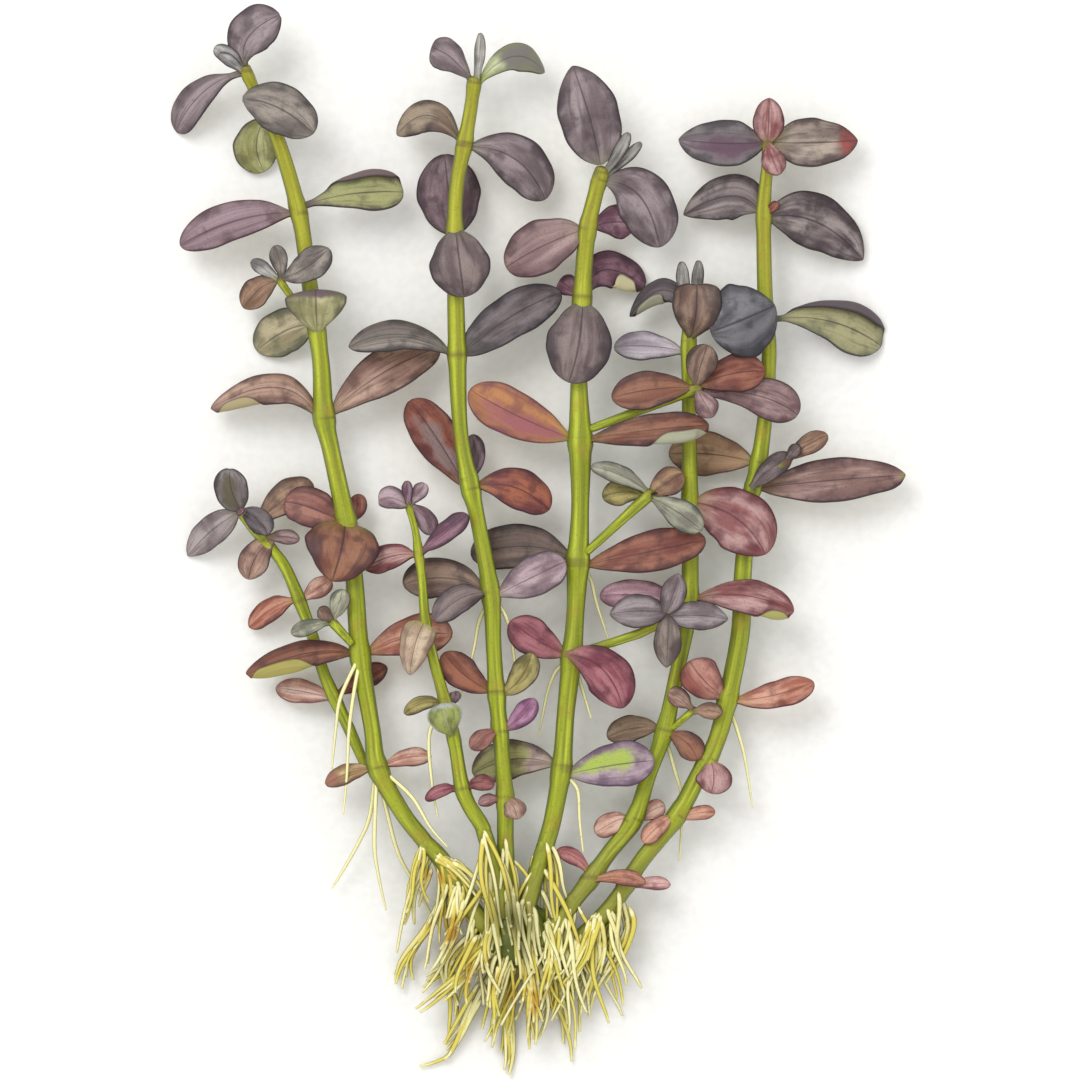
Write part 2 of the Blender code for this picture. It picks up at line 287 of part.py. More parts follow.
SHOOT_5_LEAVES = (
    Leaf("leaf_5a_left", -27.8, (-4.2, 3.0, 0.8), 3.4, (0.0, 0.4, 0.4), 0, 8, "oval", "rust"),
    Leaf("leaf_5a_right", -27.8, (4.8, -0.6, 1.4), 3.0, (0.0, 0.4, 0.6), 0, 8, "oval", "orange"),
)
SHOOT_6_LEAVES = (
    Leaf("leaf_6a_front", 11.8, (3.2, 3.0, 1.0), 3.8, (-0.2, 0.3, 0.2), 0, 10, "oval", "brown rose",
         (-3.6, -2.6, 0.4)),
    Leaf("leaf_6a_right", 13.6, (6.8, 4.4, 0.8), 3.6, (0.0, 0.4, 0.4), 10, 10, "oval", "rust"),
    Leaf("leaf_6a_bud", 13.8, (1.8, 2.4, 1.4), 2.2, (0.0, 0.2, 0.2), 0, 20, "oval", "rosy"),
)

# Aerial roots hang from the lower joints of a stem.
STEM_1_ROOTS = (
    (
        (-30.0, -19.4, 7.6),
        (-31.0, -24.9, 9.0),
        (-31.8, -31.1, 8.6),
        (-32.2, -38.9, 7.6),
        (-32.8, -45.2, 6.6),
    ),
    ((-30.2, -19.0, 8.0), (-33.2, -25.6, 8.8), (-34.0, -30.8, 7.8), (-34.7, -37.6, 6.6)),
    (
        (-27.4, -37.9, 6.4),
        (-28.4, -45.4, 5.0),
        (-30.2, -49.8, 4.0),
        (-33.2, -55.1, 2.8),
        (-34.8, -57.6, 2.2),
    ),
    ((-27.2, -38.8, 7.2), (-27.6, -49.8, 6.6), (-27.0, -55.1, 5.2), (-25.7, -61.2, 3.6)),
    ((-26.4, -40.9, 6.2), (-24.0, -50.8, 3.8), (-21.4, -56.1, 2.2), (-16.8, -64.4, 0.8)),
    ((-25.0, -38.8, 7.6), (-21.2, -42.4, 8.4), (-18.3, -47.2, 8.2), (-15.4, -50.6, 7.8)),
)
STEM_2_ROOTS = (
    ((-15.8, -27.2, 10.0), (-18.4, -31.6, 9.2), (-18.0, -39.9, 8.4), (-17.0, -45.6, 7.8)),
)
STEM_3_ROOTS = (
    ((-8.6, -9.6, 8.4), (-10.2, -13.2, 7.4), (-11.2, -18.4, 6.8), (-13.4, -25.9, 6.0)),
    ((-7.2, -9.6, 8.4), (-5.0, -14.2, 7.8), (-3.7, -25.1, 6.8)),
)
STEM_4_ROOTS = (
    ((7.0, -3.6, 7.0), (8.5, -6.2, 6.0), (9.5, -10.2, 5.6), (11.5, -16.1, 5.0)),
    ((4.8, -19.4, 7.0), (2.6, -21.4, 6.2), (1.2, -25.1, 6.0), (-0.2, -32.1, 5.6)),
    ((5.6, -20.0, 7.4), (7.0, -24.1, 6.8), (8.5, -29.1, 6.2)),
    ((3.8, -38.4, 8.0), (6.2, -40.9, 8.2), (6.6, -46.2, 7.6), (7.2, -51.4, 7.0)),
)
STEM_5_ROOTS = (
    ((20.6, -31.4, 5.0), (22.5, -37.8, 4.0), (23.7, -43.1, 3.2), (23.3, -53.1, 2.2)),
)
STEM_6_ROOTS = (
    ((31.4, -26.8, 5.6), (33.0, -31.4, 4.8), (34.2, -35.9, 4.2), (35.5, -44.1, 3.2)),
)

# The forked rootstock: one arm under each stem, meeting in a lump that the roots grow from.
CROWN_ARMS = (
    ((-19.4, -49.6, 6.5, 1.4), (-16.2, -53.0, 6.2, 1.5), (-12.4, -59.5, 5.8, 1.6), (-8.6, -64.6, 5.4, 1.8)),
    ((-9.65, -47.15, 9.1, 1.25), (-8.4, -51.2, 8.2, 1.4), (-7.2, -57.0, 7.0, 1.5), (-6.4, -63.0, 6.0, 1.7)),
    ((-5.8, -48.6, 7.3, 1.4), (-5.6, -54.5, 6.2, 1.5), (-5.2, -60.0, 5.4, 1.7), (-4.8, -65.0, 5.2, 1.8)),
    ((1.1, -49.8, 6.95, 1.5), (-0.6, -55.0, 6.4, 1.5), (-2.2, -60.5, 5.8, 1.6), (-3.8, -65.4, 5.4, 1.8)),
    ((6.0, -59.0, 6.0, 1.4), (3.6, -62.6, 5.6, 1.5), (0.4, -66.2, 5.2, 1.6), (-3.0, -68.0, 5.0, 1.6)),
    ((13.9, -57.75, 6.0, 1.4), (11.2, -61.4, 5.2, 1.5), (6.4, -66.0, 4.6, 1.5), (-1.0, -69.4, 4.6, 1.6)),
)
CROWN_CENTRE = (-4.6, -66.0, 5.0)
CROWN_RADII = (7.4, 6.4, 3.8)
CROWN_ROOTS = (
    ((-18.4, -51.6, 6.0), (-20.2, -57.2, 4.8), (-21.2, -63.6, 3.2)),
    ((-14.6, -56.0, 5.4), (-18.6, -63.6, 3.8), (-22.0, -69.4, 2.2), (-22.7, -74.4, 1.0)),
    ((-12.6, -58.6, 6.2), (-14.6, -65.0, 6.8), (-18.4, -71.2, 6.2)),
    ((-13.6, -56.4, 7.2), (-14.2, -62.0, 8.0), (-16.6, -67.6, 8.2)),
    ((-8.6, -65.0, 3.6), (-12.4, -68.4, 2.6), (-19.4, -74.2, 1.2)),
    ((-7.4, -66.0, 6.4), (-13.4, -72.6, 5.8), (-20.2, -78.2, 4.6)),
    ((-9.4, -64.0, 5.0), (-15.2, -70.0, 4.0), (-14.6, -77.2, 2.8), (-15.4, -82.6, 1.6)),
    ((-6.4, -68.0, 4.0), (-10.4, -76.2, 2.6), (-13.8, -82.8, 1.4), (-16.2, -86.0, 0.7), (-20.2, -87.4, 0.5)),
    ((-9.6, -64.8, 6.6), (-11.6, -71.4, 6.8), (-12.1, -76.8, 6.2)),
    ((-5.6, -67.6, 6.6), (-7.4, -74.4, 6.8), (-8.1, -80.0, 6.2)),
    ((-4.6, -68.8, 4.2), (-6.8, -77.2, 3.2), (-8.4, -84.2, 2.0)),
    ((-3.4, -68.8, 3.6), (-4.6, -79.0, 2.0), (-4.8, -85.4, 0.8), (-4.9, -89.4, 0.5)),
    ((-1.8, -67.6, 5.6), (-1.6, -76.4, 5.6), (-2.2, -84.4, 4.4)),
    ((0.2, -66.2, 5.2), (1.6, -75.6, 4.2), (-0.6, -82.8, 3.0)),
    ((-0.4, -66.0, 4.0), (2.4, -74.4, 2.6), (4.2, -81.0, 1.4), (5.2, -86.6, 0.6)),
    ((5.6, -64.4, 5.2), (8.2, -71.0, 4.2), (7.2, -76.2, 3.0), (6.5, -81.6, 2.0)),
    ((13.2, -58.8, 5.6), (14.6, -63.6, 5.2), (12.6, -68.8, 4.4), (9.8, -73.4, 3.4), (8.9, -77.4, 2.6)),
    ((9.6, -61.6, 6.2), (7.4, -68.4, 6.6), (3.6, -73.8, 6.2)),
    ((11.4, -59.8, 5.0), (10.2, -66.2, 3.8), (6.4, -73.0, 2.6), (3.4, -77.4, 1.8)),
    ((1.6, -62.6, 6.0), (1.4, -69.6, 7.2), (0.2, -76.0, 7.4)),
    ((-6.9, -59.5, 6.6), (-9.0, -68.0, 8.2), (-7.0, -74.8, 8.2)),
    ((-17.4, -52.0, 7.0), (-13.6, -54.4, 7.6), (-9.2, -60.0, 6.6)),
)


def linear(channel):
    """One sRGB channel, 0 to 1, as linear light."""
    return channel / 12.92 if channel <= 0.04045 else ((channel + 0.055) / 1.055) ** 2.4


def tissue(colour):
    """The plain plant tissue of one colour."""
    name = colour.replace(" ", "_") + "_tissue"
    found = bpy.data.materials.get(name)
    if found:
        return found
    material = bpy.data.materials.new(name)
    material.use_nodes = True
    shader = material.node_tree.nodes["Principled BSDF"]
    code = COLOURS[colour]
    channels = [linear(int(code[i : i + 2], 16) / 255) for i in (0, 2, 4)]
    shader.inputs["Base Color"].default_value = (*channels, 1.0)
    shader.inputs["Roughness"].default_value = 0.5
    shader.inputs["Metallic"].default_value = 0.0
    return material


def clear_scene():
    for thing in list(bpy.data.objects):
        bpy.data.objects.remove(thing, do_unlink=True)


def route_at(route, height):
    """The axis point of a route at a height up the plant, and the radius there."""
    for low, high in zip(route, route[1:]):
        if height <= high[1] or high is route[-1]:
            share = (height - low[1]) / (high[1] - low[1])
            mixed = [a + (b - a) * share for a, b in zip(low, high)]
            return Vector(mixed[:3]), mixed[3], (Vector(high[:3]) - Vector(low[:3])).normalized()


def leaf_base(leaf, route, fused):
    """Where the leaf's midrib starts: inside the stem if it is grown on, or a hair's breadth clear of it."""
    axis_point, radius, up_stem = route_at(route, leaf.height)
    leaving = Vector(leaf.reach) / 2 + 2 * Vector(leaf.bow)
    leaving -= leaving.dot(up_stem) * up_stem
    offset = leaving.normalized() * (radius * 0.3 if fused else radius + JOINT_GAP)
    return axis_point + (Vector(leaf.start) if leaf.start else offset), axis_point + Vector(leaf.reach)


def outline(leaf, share):
    """Half the blade's width at a share of its length, from base to tip."""
    rise, fall = OUTLINES[leaf.outline]
    widest = rise / (rise + fall)
    shape = (share / widest) ** rise * ((1 - share) / (1 - widest)) ** fall
    half = leaf.width / 2 * shape
    return max(half, PETIOLE_HALF_WIDTH) if share < PETIOLE_SHARE else half


def blade_point(leaf, base, tip, share, across, rise):
    """A point of the blade, across from -1 to 1 between its edges, and rise above its middle layer."""
    reach = tip - base
    handle = (base + tip) / 2 + 2 * Vector(leaf.bow)
    place = base * (1 - share) ** 2 + handle * 2 * share * (1 - share) + tip * share**2
    along = ((handle - base) * (1 - share) + (tip - handle) * share).normalized()
    left = Vector((-reach.y, reach.x, 0)).normalized()
    face = along.cross(left).normalized()
    left = face.cross(along)
    side = 1 if reach.x > 0 else -1
    turn = Matrix.Rotation(radians(-leaf.tilt * side), 3, along)
    half = outline(leaf, share)
    bend = radians(leaf.curl)
    out = half * sin(bend * across) / bend
    up = half * (1 - cos(bend * across)) / bend
    point = place + turn @ (left * out + face * (up + rise))
    point.z = max(point.z, LEAF_THICKNESS / 2 + rise)
    return point


def loft(bm, rings):
    """Skins a row of vertex rings and closes both ends."""
    edges = [list({edge for vert in ring for edge in vert.link_edges}) for ring in rings]
    for first, second in zip(edges, edges[1:]):
        bmesh.ops.bridge_loops(bm, edges=first + second)
    for ends in (edges[0], edges[-1]):
        bmesh.ops.contextual_create(bm, geom=ends)
    bmesh.ops.recalc_face_normals(bm, faces=bm.faces)


def smooth_sides(bm):
    for face in bm.faces:
        face.smooth = len(face.verts) <= 4


def leaf_mesh(leaf, base, tip):
    """A blade with sharp edges, thickest along its midrib."""
    bm = bmesh.new()
    small = Vector(leaf.reach).length < SMALL_LEAF_LENGTH
    stations = SMALL_LEAF_STATIONS if small else LARGE_LEAF_STATIONS
    rings = []
    for share in (*stations, BLUNT_TIP):
        ring = bmesh.ops.create_circle(bm, cap_ends=False, segments=4, radius=1.0)["verts"]
        for vert in ring:
            rise = vert.co.y * LEAF_THICKNESS / 2
            vert.co = blade_point(leaf, base, tip, share, vert.co.x, rise)
        rings.append(ring)
    loft(bm, rings)
    end = blade_point(leaf, base, tip, 1.0, 0.0, 0.0)
    bmesh.ops.pointmerge(bm, verts=rings[-1], merge_co=end)
    return bm


def tube_mesh(route, sides):
    """A round stem or root along a route of places and radii. Its flats lie at the radii."""
    bm = bmesh.new()
    places = [Vector(point[:3]) for point in route]
    rings = []
    for i, point in enumerate(route):
        before, after = places[max(i - 1, 0)], places[min(i + 1, len(places) - 1)]
        turn = (after - before).to_track_quat("Z", "X").to_matrix().to_4x4()
        matrix = Matrix.Translation(places[i]) @ turn
        radius = point[3] / cos(pi / sides)
        ring = bmesh.ops.create_circle(bm, cap_ends=False, segments=sides, radius=radius, matrix=matrix)
        rings.append(ring["verts"])
    loft(bm, rings)
    smooth_sides(bm)
    return bm


def root_mesh(points, radius=ROOT_RADIUS):
    """A thread root, or a bundle of them, thinner towards its tip."""
    last = len(points) - 1
    radii = [radius + (ROOT_TIP_RADIUS - radius) * i / last for i in range(last + 1)]
    return tube_mesh([(*point, radius) for point, radius in zip(points, radii)], ROOT_SIDES)


def place_object(name, bm, origin, colour, parent=None):
    """Makes an object of a mesh given in the plant's millimetres, with its own origin."""
    bmesh.ops.translate(bm, verts=bm.verts, vec=-origin)
    bmesh.ops.scale(bm, verts=bm.verts, vec=(MM, MM, MM))
    mesh = bpy.data.meshes.new(name)
    bm.to_mesh(mesh)
    bm.free()
    mesh.materials.append(tissue(colour))
    thing = bpy.data.objects.new(name, mesh)
    bpy.context.scene.collection.objects.link(thing)
    thing.location = origin * MM
    if parent:
        thing.parent = parent
        thing.location -= parent.matrix_world.translation
    bpy.context.view_layer.update()
    return thing


def grow_onto(carrier, meshes):
    """Joins pieces that grow from the carrier to it, in one closed body."""
    grown = bpy.data.collections.new(carrier.name + "_growth")
    bpy.context.scene.collection.children.link(grown)
    for number, bm in enumerate(meshes):
        piece = place_object(f"{carrier.name}_growth_{number}", bm, Vector((0, 0, 0)), "stem")
        bpy.context.scene.collection.objects.unlink(piece)
        grown.objects.link(piece)
        piece.hide_render = True
        piece.display_type = "WIRE"
    join = carrier.modifiers.new("growth", "BOOLEAN")
    join.operation = "UNION"
    join.solver = "EXACT"
    join.operand_type = "COLLECTION"
    join.collection = grown


def make_shoot(name, route, sides, leaves, own_leaves, roots, parent):
    """A stem with what grows on it. The leaves named in own_leaves become objects of their own."""
    stem = place_object(name, tube_mesh(route, sides), Vector(route[0][:3]), "stem", parent)
    growth = [root_mesh(points) for points in roots]
    for leaf in leaves:
        fused = leaf.name not in own_leaves
        base, tip = leaf_base(leaf, route, fused)
        mesh = leaf_mesh(leaf, base, tip)
        if fused:
            growth.append(mesh)
        else:
            place_object(leaf.name, mesh, base, leaf.colour, stem)
    if growth:
        grow_onto(stem, growth)
    return stem


def make_crown():
    """The forked rootstock with its roots."""
    centre = Vector(CROWN_CENTRE)
    lump = bmesh.new()
    shape = Matrix.Translation(centre) @ Matrix.Diagonal((*CROWN_RADII, 1.0))
    bmesh.ops.create_icosphere(lump, subdivisions=2, radius=1.0, matrix=shape)
    smooth_sides(lump)
    crown = place_object("root_crown", lump, centre, "crown")
    arms = [tube_mesh(arm, SHOOT_SIDES) for arm in CROWN_ARMS]
    bundles = [root_mesh(points, ROOT_BUNDLE_RADIUS) for points in CROWN_ROOTS]
    grow_onto(crown, arms + bundles)
    return crown


# The 44 largest leaves are pieces of their own. The smaller ones are joined to the stem they grow from.
OWN_LEAVES = {
    *("leaf_1_0_right", "leaf_1_1_front", "leaf_1_2_left", "leaf_1_2_right", "leaf_1_3_front"),
    *("leaf_1_3_back", "leaf_1_4_left", "leaf_1_4_right", "leaf_1_5_front", "leaf_1_6_left"),
    *("leaf_1_6_right", "leaf_3_1_right", "leaf_3_2_back", "leaf_3_2_front", "leaf_3_3_left"),
    *("leaf_3_3_right", "leaf_3_4_left", "leaf_3_4_right", "leaf_3_6_back", "leaf_3_6_right"),
    *("leaf_4_0_left", "leaf_4_0_right", "leaf_4_1_left", "leaf_4_2_front", "leaf_4_3_left"),
    *("leaf_4_3_right", "leaf_4_4_left", "leaf_4_4_right", "leaf_4_5_left", "leaf_4_5_right"),
    *("leaf_4_6_left", "leaf_4_6_right", "leaf_5_0_front", "leaf_5_4_right", "leaf_5_5_left"),
    *("leaf_5_5_right", "leaf_6_0_left", "leaf_6_0_right", "leaf_6_1_left", "leaf_6_1_right"),
    *("leaf_6_2_left", "leaf_6_2_right", "leaf_6_4_left", "leaf_6_4_right"),
}

clear_scene()
root_crown = make_crown()
stem_1 = make_shoot("stem_1", STEM_1, STEM_SIDES, STEM_1_LEAVES, OWN_LEAVES, STEM_1_ROOTS, root_crown)
make_shoot("stem_2", STEM_2, STEM_SIDES, STEM_2_LEAVES, OWN_LEAVES, STEM_2_ROOTS, root_crown)
make_shoot("stem_3", STEM_3, STEM_SIDES, STEM_3_LEAVES, OWN_LEAVES, STEM_3_ROOTS, root_crown)
stem_4 = make_shoot("stem_4", STEM_4, STEM_SIDES, STEM_4_LEAVES, OWN_LEAVES, STEM_4_ROOTS, root_crown)
stem_5 = make_shoot("stem_5", STEM_5, STEM_SIDES, STEM_5_LEAVES, OWN_LEAVES, STEM_5_ROOTS, root_crown)
stem_6 = make_shoot("stem_6", STEM_6, STEM_SIDES, STEM_6_LEAVES, OWN_LEAVES, STEM_6_ROOTS, root_crown)
make_shoot("shoot_1_upper", SHOOT_1_UPPER, SHOOT_SIDES, SHOOT_1_UPPER_LEAVES, (), (), stem_1)
make_shoot("shoot_1_lower", SHOOT_1_LOWER, SHOOT_SIDES, SHOOT_1_LOWER_LEAVES, (), (), stem_1)
make_shoot("shoot_1_middle", SHOOT_1_MIDDLE, SHOOT_SIDES, SHOOT_1_MIDDLE_LEAVES, (), (), stem_1)
make_shoot("shoot_4_upper", SHOOT_4_UPPER, SHOOT_SIDES, SHOOT_4_UPPER_LEAVES, (), (), stem_4)
make_shoot("shoot_4_middle", SHOOT_4_MIDDLE, SHOOT_SIDES, SHOOT_4_MIDDLE_LEAVES, (), (), stem_4)
make_shoot("shoot_4_lower", SHOOT_4_LOWER, SHOOT_SIDES, SHOOT_4_LOWER_LEAVES, (), (), stem_4)
make_shoot("shoot_5", SHOOT_5, SHOOT_SIDES, SHOOT_5_LEAVES, (), (), stem_5)
make_shoot("shoot_6", SHOOT_6, SHOOT_SIDES, SHOOT_6_LEAVES, (), (), stem_6)
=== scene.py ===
"""The look of a rooted clump of Bacopa salzmannii, purple form, that lies flat on a pale table."""

from collections import namedtuple
from math import cos, exp, pi, radians, sin
from random import Random

import bmesh
import bpy
from mathutils import Matrix, Vector


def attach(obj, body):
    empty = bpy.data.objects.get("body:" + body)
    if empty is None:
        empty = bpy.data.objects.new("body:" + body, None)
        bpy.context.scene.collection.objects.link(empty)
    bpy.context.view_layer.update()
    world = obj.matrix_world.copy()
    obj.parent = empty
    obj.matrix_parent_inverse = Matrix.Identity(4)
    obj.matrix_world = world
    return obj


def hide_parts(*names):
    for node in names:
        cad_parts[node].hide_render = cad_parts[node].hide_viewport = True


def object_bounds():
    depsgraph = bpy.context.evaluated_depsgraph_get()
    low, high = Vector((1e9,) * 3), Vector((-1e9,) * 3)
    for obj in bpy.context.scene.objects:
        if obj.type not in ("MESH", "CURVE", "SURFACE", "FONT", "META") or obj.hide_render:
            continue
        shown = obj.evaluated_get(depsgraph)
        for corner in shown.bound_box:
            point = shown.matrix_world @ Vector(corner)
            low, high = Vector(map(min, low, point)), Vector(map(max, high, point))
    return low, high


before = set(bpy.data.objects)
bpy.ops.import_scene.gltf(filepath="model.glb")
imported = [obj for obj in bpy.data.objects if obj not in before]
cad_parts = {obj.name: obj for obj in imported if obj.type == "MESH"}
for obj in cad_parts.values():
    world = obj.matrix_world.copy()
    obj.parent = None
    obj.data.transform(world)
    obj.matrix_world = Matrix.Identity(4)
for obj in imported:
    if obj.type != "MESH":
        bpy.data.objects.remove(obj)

CAD_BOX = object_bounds()
MM = 0.001

# The stems. Six round, fleshy, yellow-green stalks, 2 to 4 mm thick, grow up from the rootstock. Each is
# smooth and finely ribbed, swells at every joint where a pair of leaves leaves it, and browns at its foot.
# Here is how a stem is made. Each stands below with its leaves, on a route that runs up from its foot:
# across, up, height above the table, radius, in millimetres.
STEM_SIDES = 20
RINGS_PER_MM = 0.9
# How far a stem runs on into what it grows from, and how blunt its tip is beside its radius.
RUN_IN = 1.5
BLUNT_TIP = 0.45
JOINT_REACH = 1.3
JOINT_SWELL = 0.16
# How far the browner ring of a joint reaches, how strong it is beside the dark crown of a shoot around its
# youngest leaves, and how far that crown reaches.
RING_REACH = 0.55
RING_TONE = 0.66
TIP_REACH = 1.5
STEM_SHADE = "7D8520"
STEM_GREEN = "9CA520"
STEM_LIGHT = "BDC838"
STEM_AMBER = "A08C2C"
STEM_FOOT = "8C8C34"
# The dark green of the painted shade at a stem's flanks, also laid as a fine grain.
STEM_FLANK_SHADE_AND_GRAIN = "4A581A"
STEM_JOINT = "5C4A2A"
STEM_CROWN = "5E3A3A"
STEM_ROUGHNESS = 0.42
WAX_IOR = 1.42
STEM_STREAKS = (11.0, 6.0)
STEM_BLOTCH_MM = 5.0
STEM_GRAIN_MM = 0.4
RIBS = 11
RIB_DEPTH_MM = 0.02
# Heights on the plant: a stem turns amber from the first up to the second, and brown from the last down to
# the third.
AMBER_FROM = 15.0
AMBER_WHOLE = 60.0
FOOT_WHOLE = -60.0
FOOT_FROM = -44.0
# Where the top of a tube is on its UV map, as a part of a turn.
TOP = 0.25
# How far a route is looked along, as a share of it, to find the way that it runs. No route runs nearly up.
LOOK_ALONG = 0.01
NEARLY_UP = Vector((0.05, 0, 1))
# Points of a tube closer than this are one, where its seam and its ends meet.
WELD_TUBE = 1e-4


def linear(code):
    """An sRGB hex colour as linear red, green, blue and alpha."""
    shares = [int(code[i : i + 2], 16) / 255 for i in (0, 2, 4)]
    return (*(s / 12.92 if s <= 0.04045 else ((s + 0.055) / 1.055) ** 2.4 for s in shares), 1.0)


def add(tree, kind, inputs=None, **settings):
    """Adds a node. An input, by its name or number, is a value, a hex colour or an output to link to it."""
    node = tree.nodes.new("ShaderNode" + kind)
    for name, value in settings.items():
        setattr(node, name, value)
    for key, value in (inputs or {}).items():
        if isinstance(value, bpy.types.NodeSocket):
            tree.links.new(value, node.inputs[key])
        else:
            node.inputs[key].default_value = linear(value) if isinstance(value, str) else value
    return node


def skin(name, roughness, ior):
    """A new material with its node tree and its shader."""
    material = bpy.data.materials.new(name)
    material.use_nodes = True
    shader = material.node_tree.nodes["Principled BSDF"]
    shader.inputs["Roughness"].default_value = roughness
    shader.inputs["IOR"].default_value = ior
    return material, material.node_tree, shader


def paint(tree, shader, ground, layers, height=None, depth_mm=0.0):
    """Lays pigments over a ground colour, and raises the skin by the height of a pattern.

    A layer is its colour and its shares, which multiply. A share is the value that it follows, where on it
    the layer begins and is whole, and how strong the layer is at both.
    """
    colour = ground
    for pigment, *shares in layers:
        strength = None
        for value, begins, whole, least, most in shares:
            reach = {"Value": value, "From Min": begins, "From Max": whole, "To Min": least, "To Max": most}
            eased = add(tree, "MapRange", reach, interpolation_type="SMOOTHSTEP").outputs["Result"]
            if strength is None:
                strength = eased
            else:
                strength = add(tree, "Math", {0: strength, 1: eased}, operation="MULTIPLY").outputs[0]
        colour = add(tree, "Mix", {"Factor": strength, 6: colour, 7: pigment}, data_type="RGBA").outputs[2]
    tree.links.new(colour, shader.inputs["Base Color"])
    if height is not None:
        bump = add(tree, "Bump", {"Height": height, "Strength": 1.0, "Distance": depth_mm * MM})
        tree.links.new(bump.outputs["Normal"], shader.inputs["Normal"])


def blotches(tree, size_mm, detail=2.0):
    """Soft blotches of a real size, fixed to the place on the plant."""
    place = add(tree, "TexCoord").outputs["Object"]
    return add(tree, "TexNoise", {"Vector": place, "Scale": 1 / (size_mm * MM), "Detail": detail}).outputs[0]


def streaked(tree, stretch, shift):
    """Streaks drawn out along a piece's UV map. The shift makes them differ from one piece to the next."""
    place = add(tree, "TexCoord").outputs["Object"]
    place = add(tree, "VectorMath", {0: place, "Scale": shift}, operation="SCALE").outputs[0]
    drawn_out = {0: add(tree, "UVMap").outputs[0], 1: (*stretch, 0.0), 2: place}
    at = add(tree, "VectorMath", drawn_out, operation="MULTIPLY_ADD").outputs[0]
    return add(tree, "TexNoise", {"Vector": at, "Scale": 1.0, "Detail": 3.0}).outputs[0]


def off_line(tree, value, line):
    """How far a value is from a line, to either side of it."""
    offset = add(tree, "Math", {0: value, 1: line}, operation="SUBTRACT").outputs[0]
    return add(tree, "Math", {0: offset}, operation="ABSOLUTE").outputs[0]


def stem_skin():
    """Stem epidermis: thin smooth wax over green flesh, with painted shade in dark green at the flanks, so
    that it is paler along the top.
    """
    material, tree, shader = skin("stem_epidermis", STEM_ROUGHNESS, WAX_IOR)
    around = add(tree, "SeparateXYZ", {0: add(tree, "UVMap").outputs[0]}).outputs[0]
    height = add(tree, "SeparateXYZ", {0: add(tree, "TexCoord").outputs["Object"]}).outputs[1]
    joint = add(tree, "Attribute", attribute_name="joint").outputs["Fac"]
    streaks = streaked(tree, STEM_STREAKS, 1.0)
    layers = (
        (STEM_GREEN, (streaks, 0.32, 0.55, 0.0, 1.0)),
        (STEM_LIGHT, (streaks, 0.5, 0.7, 0.0, 1.0)),
        (STEM_AMBER, (blotches(tree, STEM_BLOTCH_MM), 0.52, 0.75, 0.0, 0.6)),
        (STEM_AMBER, (height, AMBER_FROM * MM, AMBER_WHOLE * MM, 0.0, 0.38)),
        (STEM_FOOT, (height, FOOT_WHOLE * MM, FOOT_FROM * MM, 0.85, 0.0)),
        # Painted shade: a stem darkens towards its flanks, away from the top of the tube.
        (STEM_FLANK_SHADE_AND_GRAIN, (off_line(tree, around, TOP), 0.0875, 0.225, 0.0, 0.85)),
        (STEM_JOINT, (joint, 0.35, 0.85, 0.0, 0.9)),
        (STEM_CROWN, (joint, 0.7, 0.95, 0.0, 0.75)),
        (STEM_FLANK_SHADE_AND_GRAIN, (blotches(tree, STEM_GRAIN_MM), 0.52, 0.75, 0.0, 0.3)),
    )
    turns = add(tree, "Math", {0: around, 1: RIBS * 2 * pi}, operation="MULTIPLY").outputs[0]
    ribs = add(tree, "Math", {0: turns}, operation="SINE").outputs[0]
    paint(tree, shader, STEM_SHADE, layers, ribs, RIB_DEPTH_MM)
    return material


def along(points, share):
    """What a smooth curve through the points gives at a share of the way."""
    spot = share * (len(points) - 1)
    i = min(int(spot), len(points) - 2)
    t = spot - i
    p, q, r, s = (points[max(i - 1, 0)], points[i], points[i + 1], points[min(i + 2, len(points) - 1)])
    return tuple(
        b + (c - a) * t / 2 + (2 * a - 5 * b + 4 * c - d) * t**2 / 2 + (3 * b - a - 3 * c + d) * t**3 / 2
        for a, b, c, d in zip(p, q, r, s)
    )


def tube(bm, points, sides, rings, radius_at):
    """A closed round tube through the points. Its UV map runs around it and along it."""
    bm.loops.layers.uv.verify()
    grid = bmesh.ops.create_grid(bm, x_segments=sides, y_segments=rings, size=1, calc_uvs=True)["verts"]
    for vert in grid:
        angle = (vert.co.x + 1) * pi
        share = (vert.co.y + 1) / 2
        before, centre, beyond = (
            Vector(along(points, spot)[:3])
            for spot in (max(share - LOOK_ALONG, 0), share, min(share + LOOK_ALONG, 1))
        )
        ahead = beyond - before
        side = ahead.cross(NEARLY_UP).normalized()
        up = side.cross(ahead).normalized()
        vert.co = centre + (side * cos(angle) + up * sin(angle)) * radius_at(share)
    bmesh.ops.remove_doubles(bm, verts=grid, dist=WELD_TUBE)


def close_ends(bm):
    """Closes the open ends of the tubes, and turns every face outwards."""
    bmesh.ops.holes_fill(bm, edges=[edge for edge in bm.edges if edge.is_boundary], sides=0)
    bmesh.ops.recalc_face_normals(bm, faces=bm.faces)


def piece(name, bm, materials, slot, *nodes):
    """Makes a piece of a mesh in the plant's millimetres. It stands for the CAD nodes that are named."""
    bmesh.ops.scale(bm, verts=bm.verts, vec=(MM, MM, MM))
    mesh = bpy.data.meshes.new(name)
    for face in bm.faces:
        face.smooth = True
    bm.to_mesh(mesh)
    bm.free()
    for material in materials:
        mesh.materials.append(material)
    thing = bpy.data.objects.new(name, mesh)
    bpy.context.scene.collection.objects.link(thing)
    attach(thing, "root")
    if nodes:
        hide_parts(*nodes)
    return thing


